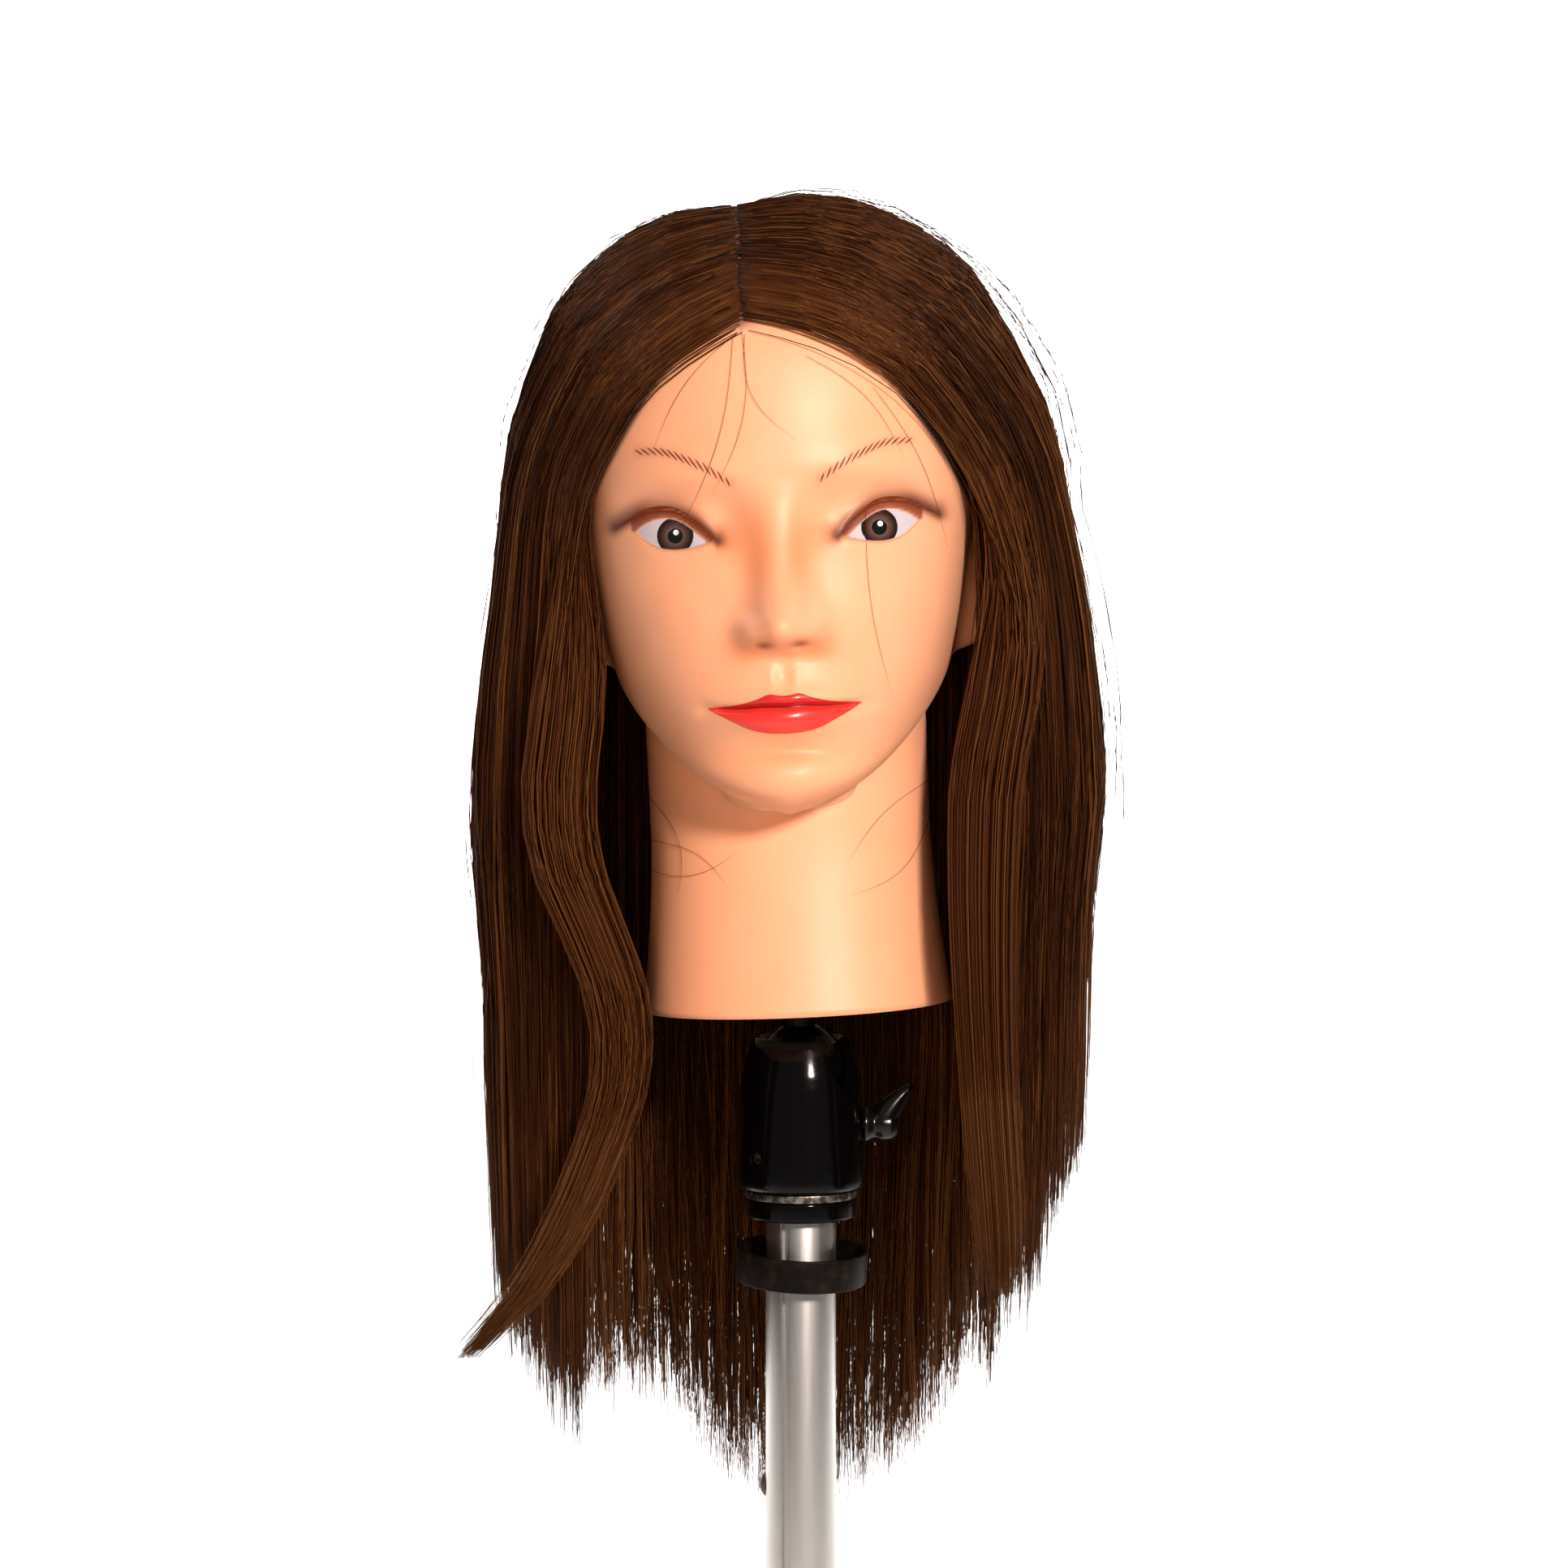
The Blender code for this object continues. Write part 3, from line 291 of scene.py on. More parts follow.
def features(across, up):
    """How far the face stands out of the head's form."""
    side = np.abs(across)
    out = sum(size * hump(side, up, *shape) for size, *shape in FACE_HUMPS)
    spread = 0.0088 + 0.0012 * (1 - smooth(0.400, 0.425, up))
    low, high = NOSE_PROFILE[0, 0], NOSE_PROFILE[-1, 0]
    out += along(NOSE_PROFILE, up) * (up > low) * (up < high) * np.exp(-((side / spread) ** 2.4))
    line = along(LIP_LINE, np.minimum(side, MOUTH_HALF))
    fade = 1 - smooth(0.020, MOUTH_HALF + 0.001, side)
    out -= 0.0026 * np.exp(-((up - line) / 0.0011) ** 2) * fade
    # the lids: the ball of the eye lies under their rims, and a crease runs above the upper one
    from_eye, rise = side - EYE[0], up - EYE[1]
    within = smooth(-0.0150, -0.0100, from_eye) * (1 - smooth(0.0125, 0.0170, from_eye))
    over = along(LID_TOP, np.clip(from_eye, *EYE_OPEN))
    under = along(LID_LOW, np.clip(from_eye, *EYE_OPEN))
    crease = along(CREASE, np.clip(from_eye, CREASE[0][0], CREASE[-1][0]))
    opened = smooth(-0.0004, 0.0004, over - rise) * smooth(-0.0004, 0.0004, rise - under)
    out -= 0.0011 * opened * within
    span = smooth(-0.0150, -0.0110, from_eye) * (1 - smooth(0.0150, 0.0205, from_eye))
    out -= 0.0007 * span * np.exp(-((rise - crease) / 0.0010) ** 2)
    out += 0.0006 * span * np.exp(-((rise - crease - 0.0022) / 0.0014) ** 2)
    return out * smooth(0.3445, 0.3520, up)


def ear_form(azimuth, height):
    """How far the ears stand out: a raised rim round a bowl, and a lobe below."""
    side = np.abs(azimuth)
    lean_back = side - radians(100) - (height - 0.420) * 3.0
    rim = np.sqrt((lean_back / radians(9)) ** 2 + ((height - 0.422) / 0.025) ** 2)
    out = 0.0125 * (1 - smooth(0.80, 1.15, rim))
    out -= 0.0070 * (1 - smooth(0.30, 0.75, rim))
    return out + 0.0040 * hump(lean_back, height, radians(-4), 0.4010, radians(4), 0.0060)


def skin_points(azimuth, row):
    """The head's outer surface in its own upright frame."""
    radius, height = head_form(azimuth, row)
    radius = radius + ear_form(azimuth, height)
    across, depth = radius * np.sin(azimuth), -radius * np.cos(azimuth)
    facing = smooth(0.15, 0.45, np.cos(azimuth))
    return np.stack([across, depth - features(across, height) * facing, height], axis=-1)


def leaned(points):
    """Turns points of the upright head about the ball, towards -X."""
    moved = np.asarray(points) - BALL
    across = moved[..., 0] * np.cos(LEAN) - moved[..., 2] * np.sin(LEAN)
    up = moved[..., 0] * np.sin(LEAN) + moved[..., 2] * np.cos(LEAN)
    return np.stack([across, moved[..., 1], up], axis=-1) + BALL


def grid_faces(rows, columns, first=0, around=False, flip=False):
    """The four-sided faces of a grid of points, which may go right round."""
    row, column = np.meshgrid(
        np.arange(rows - 1), np.arange(columns if around else columns - 1), indexing="ij"
    )
    a = first + row * columns + column
    b = first + row * columns + (column + 1) % columns
    faces = np.stack([a, b, b + columns, a + columns], axis=-1).reshape(-1, 4)
    return faces[:, ::-1] if flip else faces


SKIN_COLUMNS, HOLLOW_ROWS = 288, 10
azimuths = np.linspace(-np.pi, np.pi, SKIN_COLUMNS, endpoint=False)
azimuths = azimuths - 0.60 * np.sin(azimuths)
rows = np.concatenate([
    np.linspace(0, 4.2, 26, endpoint=False), np.linspace(4.2, 17, 246, endpoint=False),
    np.linspace(17, LAST_ROW - 0.02, 44),
])
outer = skin_points(azimuths[None, :], rows[:, None])
hollow_rows = np.linspace(0, LAST_ROW - 1.0, HOLLOW_ROWS)
radius, height = head_form(azimuths[None, :], hollow_rows[:, None])
radius = radius * 0.925 - 0.0035
hollow = np.stack([radius * np.sin(azimuths), -radius * np.cos(azimuths), height], axis=-1)
peaks = np.array([(0.0, 0.0, HEAD_ROWS[-1, 0]), (0.0, 0.0, hollow[-1, 0, 2] + 0.003)])
count = inner_first = outer.size // 3
quads = np.concatenate([
    grid_faces(len(rows), SKIN_COLUMNS, 0, True),
    grid_faces(HOLLOW_ROWS, SKIN_COLUMNS, inner_first, True, True),
])
ring = np.arange(SKIN_COLUMNS)
after = (ring + 1) % SKIN_COLUMNS
quads = np.concatenate([quads, np.stack([inner_first + ring, inner_first + after, after, ring], axis=1)])
top, inner_top = count - SKIN_COLUMNS, inner_first + (HOLLOW_ROWS - 1) * SKIN_COLUMNS
pole, inner_pole = inner_first + hollow.size // 3, inner_first + hollow.size // 3 + 1
caps = np.concatenate([
    np.stack([top + ring, top + after, np.full(SKIN_COLUMNS, pole)], axis=1),
    np.stack([inner_top + after, inner_top + ring, np.full(SKIN_COLUMNS, inner_pole)], axis=1),
])
upright = np.concatenate([outer.reshape(-1, 3), hollow.reshape(-1, 3), peaks])
skin = build("vinyl_skin", leaned(upright), quads, caps)


def crease_distance(side, up):
    """How far a point is above or below the painted crease."""
    from_eye = np.clip(side - EYE[0], CREASE[0][0], CREASE[-1][0])
    return (up - EYE[1]) - along(CREASE, from_eye)


# how much eye shadow and brow tint is sprayed on each point, how much painted shade darkens the face's hollows
# and nostrils, and how much painted shade, with the hair's roots, darkens the scalp under the hair
side, depth, up = np.abs(upright[:, 0]), upright[:, 1], upright[:, 2]
from_eye = side - EYE[0]
beyond = np.maximum(np.maximum(CREASE[0][0] - from_eye, from_eye - CREASE[-1][0]), 0.0)
away = crease_distance(side, up)
spray = np.where(away > 0, 0.0046, 0.0024)
corner = 0.70 + 0.30 * smooth(0.002, 0.011, np.abs(from_eye - 0.002))
shadow = np.exp(-((away / spray) ** 2) - (beyond / 0.0034) ** 2) * corner * (depth < 0)
lid = smooth(-0.0004, 0.0008, (up - EYE[1]) - along(LID_TOP, np.clip(from_eye, *EYE_OPEN)))
lid = lid * (away < 0) * (from_eye > -0.0125) * (from_eye < 0.0150) * (depth < 0)
brow_rise = up - along(BROW, np.clip(side, BROW[0][0], BROW[-1][0]))
brow_beyond = np.maximum(np.maximum(BROW[0][0] - side, side - BROW[-1][0]), 0.0)
brow = np.exp(-((brow_rise / 0.0020) ** 2) - (brow_beyond / 0.0020) ** 2) * (depth < 0)
# painted shade, dark orange, in the hollows beside the nose, at the inner eye corners and under the lower lip
warm = hump(side, up, 0.0125, 0.4000, 0.0070, 0.0050) + hump(side, up, 0.0060, 0.4330, 0.0060, 0.0140)
warm = warm + 0.8 * hump(side, up, 0.0, 0.3655, 0.0200, 0.0035)
warm = warm + 0.9 * hump(side, up, 0.0170, 0.4370, 0.006, 0.006)
# painted shade in the dents of the nostrils, where the openings would be dark
nostril = hump(side, up - 0.03 * (side - 0.0062), 0.0060, 0.4022, 0.0030, 0.0012) * (depth < 0)
lid_rise = (up - EYE[1]) - along(LID_LOW, np.clip(from_eye, *EYE_OPEN)) + 0.0002
low_lid = np.exp(-(lid_rise / 0.0006) ** 2 - (beyond / 0.0010) ** 2)
low_lid = low_lid * (from_eye > -0.0120) * (from_eye < 0.0140) * (depth < 0)
for name, amount in (
    ("nostril", nostril), ("low_lid", low_lid), ("shadow", shadow), ("lid", lid), ("brow", brow),
    ("warm", warm * (depth < 0)),
):
    attribute(skin, name, np.clip(amount, 0, 1))
PARTING_X = -0.0090
HAIRLINE = ((0.0000, 0.5090), (0.0170, 0.5050), (0.0400, 0.4860), (0.0540, 0.4660), (0.0640, 0.4500),
            (0.0700, 0.4400), (0.0800, 0.4300))
hair_edge = along(HAIRLINE, np.minimum(side, 0.0800))
hair_edge = np.where(depth > 0.012, 0.352, hair_edge)
ear = ear_form(np.arctan2(upright[:, 0], -depth), up)
# the scalp under the hair is painted near-black: painted shade under the hair together with the brown of its
# roots, a little less dark along the parting
rooted = smooth(0.000, 0.004, up - hair_edge) * (1 - smooth(0.0005, 0.0020, ear))
parting = np.exp(-((upright[:, 0] - PARTING_X) / 0.0011) ** 2) * (depth < 0.030) * rooted
attribute(skin, "rooted", rooted)
attribute(skin, "parting", parting)



def noise(tree, scale, detail, vector=None):
    """Noise at a scale a metre, on object coordinates unless another vector is given."""
    if vector is None:
        vector = node(tree, "ShaderNodeTexCoord").outputs["Object"]
    return node(tree, "ShaderNodeTexNoise", [("Vector", vector)], Scale=scale, Detail=detail)


# Soft PVC, tinted peach and rotocast: satin, a little light goes under the surface. Makeup is airbrushed on,
# and painted shade darkens the face's hollows, the nostrils and the scalp under the hair.
vinyl, tree, shader = material(
    "soft peach vinyl", "fbb987", 0.46, Subsurface_Weight=0.20, Subsurface_Scale=0.006, IOR=1.50,
    Specular_IOR_Level=0.45,
)
shader.inputs["Subsurface Radius"].default_value = (1.0, 0.45, 0.22)
MOTTLE_MM, GRAIN_MM = 22.0, 1.8
mottle = noise(tree, 1000 / MOTTLE_MM, 3.0)
tint = node(tree, "ShaderNodeMix", [("Factor", mottle.outputs["Fac"])], data_type="RGBA")
tint.inputs["A"].default_value, tint.inputs["B"].default_value = linear("f9ad80"), linear("fcb68d")
colour = tint.outputs["Result"]
for name, code, strength in (
    ("warm", "e07a3c", 0.50), ("nostril", "8a3c10", 0.85), ("low_lid", "b8602c", 0.55),
    ("lid", "8a4020", 0.92), ("brow", "a05a3c", 0.30), ("shadow", "5c2208", 0.97),
    ("rooted", "1c0d06", 0.97), ("parting", "8a5c42", 0.80),
):
    mask = node(tree, "ShaderNodeAttribute", attribute_name=name)
    part = node(tree, "ShaderNodeMath", [(0, mask.outputs["Fac"])], operation="MULTIPLY")
    part.inputs[1].default_value = strength
    mixed = node(tree, "ShaderNodeMix", [("Factor", part.outputs[0]), ("A", colour)], data_type="RGBA")
    mixed.inputs["B"].default_value = linear(code)
    colour = mixed.outputs["Result"]
tree.links.new(colour, shader.inputs["Base Color"])
grain = noise(tree, 1000 / GRAIN_MM, 2.0)
bump = node(tree, "ShaderNodeBump", [("Height", grain.outputs["Fac"])], Strength=0.05, Distance=0.0002)
tree.links.new(bump.outputs["Normal"], shader.inputs["Normal"])
skin.data.materials.append(vinyl)
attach(skin, "head")
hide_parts("head_skin")

# The painted face: glossy enamel eyes, lid lines and lips, and brows drawn hair by hair, as thin films of
# paint that follow the vinyl. Each is a grid over the face, a fifth of a millimetre proud.
FILM, FILM_SUNK = 0.00018, 0.0004


def skin_depth(across, up):
    """Where the face's surface is behind each place across and up, by halving the azimuth."""
    row = np.interp(up, HEAD_ROWS[:, 0], np.arange(len(HEAD_ROWS)))
    for _ in range(6):
        above, below = through(HEAD_ROWS, row + 0.01)[..., 0], through(HEAD_ROWS, row - 0.01)[..., 0]
        row = row - (through(HEAD_ROWS, row)[..., 0] - up) / (above - below) * 0.02
    low, high = np.zeros_like(across), np.full_like(across, radians(80))
    for _ in range(24):
        middle = (low + high) / 2
        radius, _ = head_form(middle, row)
        beyond = radius * np.sin(middle) > np.abs(across)
        low, high = np.where(beyond, low, middle), np.where(beyond, middle, high)
    azimuth = (low + high) / 2
    radius, _ = head_form(azimuth, row)
    facing = smooth(0.15, 0.45, np.cos(azimuth))
    return -radius * np.cos(azimuth) - features(across, up) * facing


def edges(rows, columns):
    """The four sides of a grid of points, in turn round it."""
    return (
        np.arange(columns), np.arange(rows) * columns + columns - 1,
        (np.arange(columns) + (rows - 1) * columns)[::-1], (np.arange(rows) * columns)[::-1],
    )


def film(name, across, up, lift=FILM):
    """A thin closed film on the face over grids of places across and up."""
    depth = skin_depth(across, up)
    front = np.stack([across, depth - lift, up], axis=-1)
    back = np.stack([across, depth + FILM_SUNK, up], axis=-1)
    rows, columns = across.shape
    total = rows * columns
    quads = [grid_faces(rows, columns), grid_faces(rows, columns, total, flip=True)]
    for line in edges(rows, columns):
        quads.append(np.stack([line[:-1] + total, line[1:] + total, line[1:], line[:-1]], axis=1))
    made = build(name, leaned(np.concatenate([front.reshape(-1, 3), back.reshape(-1, 3)])),
                 np.concatenate(quads))
    merge = made.modifiers.new("merge", "WELD")
    merge.merge_threshold = 1e-6
    return made


def painted(piece, finish):
    """Puts a film on the head with its finish."""
    piece.data.materials.append(finish)
    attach(piece, "head")


white_enamel, _, _ = material("white eye enamel", "c9c1c6", 0.14, Coat_Weight=0.4, Coat_Roughness=0.08)
iris_enamel, tree, shader = material(
    "brown iris enamel", "4a2a20", 0.12, Coat_Weight=1.0, Coat_Roughness=0.03
)
ring_mask = node(tree, "ShaderNodeAttribute", attribute_name="ring")
ramp = node(tree, "ShaderNodeValToRGB", [("Fac", ring_mask.outputs["Fac"])])
stops = ramp.color_ramp.elements
stops[0].position, stops[0].color = 0.40, linear("6e5349")
stops[1].position, stops[1].color = 0.97, linear("150a07")
for place, code in ((0.52, "5c4037"), (0.72, "40261d"), (0.86, "20100a")):
    stop = stops.new(place)
    stop.color = linear(code)
tree.links.new(ramp.outputs["Color"], shader.inputs["Base Color"])
black_enamel, _, _ = material("black pupil enamel", "050405", 0.08, Coat_Weight=1.0, Coat_Roughness=0.02)
light_enamel, _, _ = material("white highlight enamel", "f2f4f8", 0.15)
liner_enamel, _, _ = material(
    "brown liner enamel", "74300f", 0.34, Specular_IOR_Level=0.10, Coat_Weight=0.12, Coat_Roughness=0.12
)
# each disc's name, radius, centre, finish and how far it stands off the vinyl
EYE_DISCS = (
    ("iris", 0.0062, (0.0, 0.0), iris_enamel, 0.00042),
    ("pupil", 0.0026, (0.0, -0.0001), black_enamel, 0.00052),
    ("highlight", 0.00095, (0.0003, 0.0011), light_enamel, 0.00062),
)
for word, sign in (("left", -1.0), ("right", 1.0)):
    s = np.linspace(EYE_OPEN[0], EYE_OPEN[1], 61)[None, :]
    v = np.linspace(0, 1, 25)[:, None]
    order = slice(None, None, int(sign))
    low, high = along(LID_LOW, s), along(LID_TOP, s)
    across = (sign * (EYE[0] + s) + 0 * v)[:, order]
    up = (EYE[1] + low + (high - low) * v)[:, order]
    white = film(f"eye_white_{word}", across, up, 0.0003)
    painted(white, white_enamel)
    for name, radius, centre, finish, lift in EYE_DISCS:
        chord = np.linspace(-1, 1, 33)[None, :]
        reach = radius * np.sin(chord * np.pi / 2)
        half = np.sqrt(np.maximum(radius**2 - reach**2, 0.0))
        around = reach + centre[0]
        outwards = np.clip(sign * around, *EYE_OPEN)
        rise = centre[1] + half * (2 * v - 1)
        rise = np.clip(rise, along(LID_LOW, outwards) + 0.0001, along(LID_TOP, outwards) - 0.0001)
        across = sign * EYE[0] + around + 0 * v
        disc = film(f"{name}_{word}", across, EYE[1] + rise, lift)
        if name == "iris":
            distance = np.sqrt((around - centre[0]) ** 2 + (rise - centre[1]) ** 2) / radius
            attribute(disc, "ring", np.tile(distance.ravel(), 2))
        painted(disc, finish)
    s = np.linspace(-0.0136, 0.0196, 61)[None, :]
    taper = np.sin(np.pi * np.linspace(0, 1, 61)) ** 0.5
    v = np.linspace(-1, 1, 7)[:, None]
    middle = along(CREASE, s)
    across = (sign * (EYE[0] + s) + 0 * v)[:, order]
    up = (EYE[1] + middle + 0.00100 * taper * v)[:, order]
    painted(film(f"lid_line_{word}", across, up, 0.00015), liner_enamel)

LIP_SEAM = 0.00030
s = np.linspace(-MOUTH_HALF, MOUTH_HALF, 121)[None, :]
line = along(LIP_LINE, np.abs(s))
top, bottom = along(LIP_TOP, np.abs(s)), along(LIP_LOW, np.abs(s))
seam = LIP_SEAM * (1 - (s / MOUTH_HALF) ** 2)
# the upper lip is a darker red than the lower, as painted shade on the lip that faces down, and a dark red line
# of painted shade lies in the groove between the lips
for name, code, low, high in (
    ("upper_lip", "d02424", line + seam, top), ("lower_lip", "ee372f", bottom, line - seam),
    ("lip_groove_shade", "7c0f12", line - seam, line + seam),
):
    lip_enamel, _, _ = material(
        f"satin enamel of the {name.replace('_', ' ')}", code, 0.34, Coat_Weight=0.25, Coat_Roughness=0.20
    )
    v = np.linspace(0, 1, 25)[:, None]
    up = low + np.maximum(high - low, 0.00005) * v
    painted(film(name, s + 0 * v, up), lip_enamel)

# Brow hairs are single strokes of a fine brush, slanting in towards the nose at their lower ends.
brow_paint, _, _ = material("brown brow paint", "5a2416", 0.45)
STROKES, STROKE_LENGTH, STROKE_WIDTH = 14, 0.0047, 0.00044
for word, sign in (("left", -1.0), ("right", 1.0)):
    lines, faces = [], []
    for index in range(STROKES):
        share = index / (STROKES - 1)
        place = BROW[0][0] + 0.0008 + (BROW[-1][0] - BROW[0][0] - 0.0008) * share
        height = along(BROW, np.array([place]))[0]
        slant = 0.38 + 0.55 * share
        t = np.linspace(-0.5, 0.5, 9)
        length = STROKE_LENGTH * (0.72 + 0.45 * np.sin(np.pi * share**0.8))
        out = place + t * length * np.sin(slant)
        rise = height + t * length * np.cos(slant)
        width = STROKE_WIDTH * (0.25 + 0.75 * np.cos(t * np.pi) ** 0.7) / 2
        v = np.array([-1.0, 0.0, 1.0])[None, :]
        across = sign * (out[:, None] + v * (width * np.cos(slant))[:, None])
        up = rise[:, None] - v * (width * np.sin(slant))[:, None]
        depth = skin_depth(across, up)
        front = np.stack([across, depth - 0.0001, up], axis=-1)
        back = np.stack([across, depth + 0.0003, up], axis=-1)
        first = index * 54
        lines += [front.reshape(-1, 3), back.reshape(-1, 3)]
        turn = sign > 0
        faces += [grid_faces(9, 3, first, flip=turn), grid_faces(9, 3, first + 27, flip=not turn)]
        for line in edges(9, 3):
            rim = np.stack([line[:-1] + 27, line[1:] + 27, line[1:], line[:-1]], axis=1) + first
            faces.append(rim[:, ::-1] if turn else rim)
    brow_piece = build(f"brow_{word}", leaned(np.concatenate(lines)), np.concatenate(faces))
    painted(brow_piece, brow_paint)

# The hair: straight, fine and brown, rooted either side of a parting left of the middle. Each strand runs over
# the crown to the side or the back and hangs plumb from there, so the leaning head's hair still falls straight.
rng = np.random.default_rng(11)
HAIR_CENTRE = np.array((0.0, 0.006, 0.455))
DOME_LEFT, DOME_RIGHT, DOME_FRONT, DOME_BACK, DOME_TOP = 0.0985, 0.1035, 0.104, 0.104, 0.1065
HANG_Z, PLUMB_Z = 0.446, 0.420
FRONT_EDGES, MIDDLE_BACK = {"left": radians(56), "right": radians(59)}, radians(180)
STRANDS_A_SIDE, PIECES_A_SIDE, CLUMPS_A_SIDE = 6650, 4, 900
STRAND_R, SIDES = 0.00024, 3
BACK_FROM = radians(115)               # the hair that hangs behind this is a shade lighter
UNDER_R, UNDER_SHARE = 0.0012, 0.10    # thicker dark tufts close the gaps between strands from within
# where along the parting a strand is rooted, as degrees up from the forehead, for the way it ends up hanging
PARTING_FOR = ((52, 33), (62, 40), (75, 52), (90, 66), (110, 84), (130, 97), (180, 114))
# how much farther out the hair hangs at each height, and how low its ends come across the head
FLARE = ((0.060, 0.0010), (0.200, 0.0060), (0.260, 0.0080), (0.300, 0.0085), (0.330, 0.0120), (0.355, 0.0130),
         (0.390, 0.0105), (0.413, 0.0065), (0.446, 0.0))
ENDS = ((-0.125, 0.182), (-0.116, 0.172), (-0.103, 0.140), (-0.085, 0.122), (-0.056, 0.108), (-0.034, 0.084),
        (0.000, 0.072), (0.034, 0.076), (0.056, 0.098), (0.069, 0.122), (0.078, 0.152), (0.088, 0.158),
        (0.096, 0.192), (0.108, 0.206), (0.125, 0.212))
DOME_STEPS = np.array((0.0, 0.04, 0.11, 0.20, 0.31, 0.43, 0.56, 0.70, 0.85, 1.0))
HANG_STEPS = np.array((0.08, 0.19, 0.32, 0.46, 0.60, 0.74, 0.88, 1.0))


def turned_back(points):
    """The upright head's places for points of the leaning head."""
    moved = np.asarray(points) - BALL
    across = moved[..., 0] * np.cos(LEAN) + moved[..., 2] * np.sin(LEAN)
    up = moved[..., 2] * np.cos(LEAN) - moved[..., 0] * np.sin(LEAN)
    return np.stack([across, moved[..., 1], up], axis=-1) + BALL


def head_radius(points):
    """The head's radius, with its ears, at the height and azimuth of upright points."""
    row = np.interp(points[..., 2], HEAD_ROWS[:, 0], np.arange(len(HEAD_ROWS)))
    azimuth = np.arctan2(points[..., 0], -points[..., 1])
    radius, height = head_form(azimuth, row)
    inside = (points[..., 2] < HEAD_ROWS[-1, 0]) & (points[..., 2] > NECK_Z - 0.003)
    return np.where(inside, radius + ear_form(azimuth, height), 0.0)


def unit(vectors):
    """Vectors scaled to a length of one."""
    return vectors / np.linalg.norm(vectors, axis=-1, keepdims=True)


def scalp_distance(directions):
    """How far the scalp is from the middle of the hair, by halving."""
    low, high = np.full(directions.shape[:-1], 0.03), np.full(directions.shape[:-1], 0.14)
    for _ in range(16):
        middle = (low + high) / 2
        place = HAIR_CENTRE + directions * middle[..., None]
        inside = np.hypot(place[..., 0], place[..., 1]) < head_radius(place)
        low, high = np.where(inside, middle, low), np.where(inside, high, middle)
    return high


def dome_distance(directions):
    """How far the outside of the brushed hair is from its middle."""
    half = np.where(directions[..., 0] > 0, DOME_RIGHT, DOME_LEFT)
    depth = np.where(directions[..., 1] > 0, DOME_BACK, DOME_FRONT)
    size = np.stack([half, depth, np.full(half.shape, DOME_TOP)], axis=-1)
    return 1 / np.linalg.norm(directions / size, axis=-1)


def over_the_dome(sign, hang, layer, steps):
    """Points of strands from the parting to where they start to hang; layer 0 is outside, 1 on the scalp."""
    degrees = np.degrees(hang)
    climb = np.radians(along(PARTING_FOR, degrees) + rng.normal(0, 2.0, len(hang)))
    near = np.full(len(hang), PARTING_X) + sign * rng.normal(0.0005, 0.0007, len(hang))
    root = unit(np.stack([near / 0.1, -np.cos(climb), np.sin(climb)], axis=-1))
    fall = HANG_Z - HAIR_CENTRE[2]
    end = unit(np.stack([
        sign * 0.09 * np.sin(hang), -0.09 * np.cos(hang), np.full(len(hang), fall)
    ], axis=-1))
    lifted = (root + end) / 2
    lifted[:, 2] += (0.05 if sign > 0 else 0.0) * (1 - smooth(56, 92, degrees))
    start = (0.85 * layer**1.2 * rng.random(len(hang)))[:, None]
    jitter = np.gradient(steps).mean() * (rng.random(len(hang))[:, None] - 0.5) * np.sin(np.pi * steps)
    share = (start + (1 - start) * (steps[None, :] + jitter))[..., None]
    directions = unit(
        (1 - share) ** 2 * root[:, None] + 2 * share * (1 - share) * lifted[:, None] + share**2 * end[:, None]
    )
    scalp = scalp_distance(directions) + 0.0006
    fullness = 0.10 + 0.90 * smooth(50, 86, degrees)[:, None]
    outside = scalp + 0.0030 + np.maximum(dome_distance(directions) - scalp - 0.0030, 0.0) * (
        fullness + (1 - fullness) * (1 - smooth(0.0, 0.65, share[..., 0]))
    )
    rise = smooth(0.0, 0.30, steps)[None, :] * (1 - 0.88 * layer[:, None])
    return HAIR_CENTRE + directions * (scalp + (outside - scalp) * rise)[..., None]


def hanging(dome, hang, layer, clump_hang, clump_layer, ends, steps):
    """Points below the dome: outwards a little, then plumb, drawn together into locks towards the ends."""
    last = dome[:, -1]
    radius = np.hypot(last[:, 0], last[:, 1] - HAIR_CENTRE[1])[:, None]
    azimuth = np.arctan2(last[:, 0], -(last[:, 1] - HAIR_CENTRE[1]))[:, None]
    height = HANG_Z - (HANG_Z - ends[:, None]) * steps[None, :]
    pull = 0.50 * smooth(0.20, 1.0, steps)[None, :]
    turn = azimuth + np.sign(azimuth) * (clump_hang - hang)[:, None] * pull
    thin = layer[:, None] + (clump_layer - layer)[:, None] * pull
    degrees = np.degrees(np.abs(turn))
    body = smooth(54, 84, degrees) * (1 - 0.75 * smooth(105, 150, degrees))
    radius = radius + along(FLARE, height) * body * (1 - 0.55 * thin) + (thin - layer[:, None]) * -0.020
    radius = radius - 0.010 * smooth(0.30, 0.10, height) * smooth(130, 170, degrees)
    return np.stack([
        radius * np.sin(turn), HAIR_CENTRE[1] - radius * np.cos(turn), height
    ], axis=-1)


def settled(points):
    """Leans the top of the hair with the head, hangs the rest plumb, and keeps it all clear of the vinyl."""
    held = points.copy()
    held[..., 2] = np.maximum(points[..., 2], PLUMB_Z)
    placed = leaned(held)
    placed[..., 2] += points[..., 2] - held[..., 2]
    upright = turned_back(placed)
    reach = np.hypot(upright[..., 0], upright[..., 1])
    short = np.maximum(head_radius(upright) + 0.0012 - reach, 0.0)
    upright[..., :2] *= (1 + short / np.maximum(reach, 1e-4))[..., None]
    return leaned(upright)


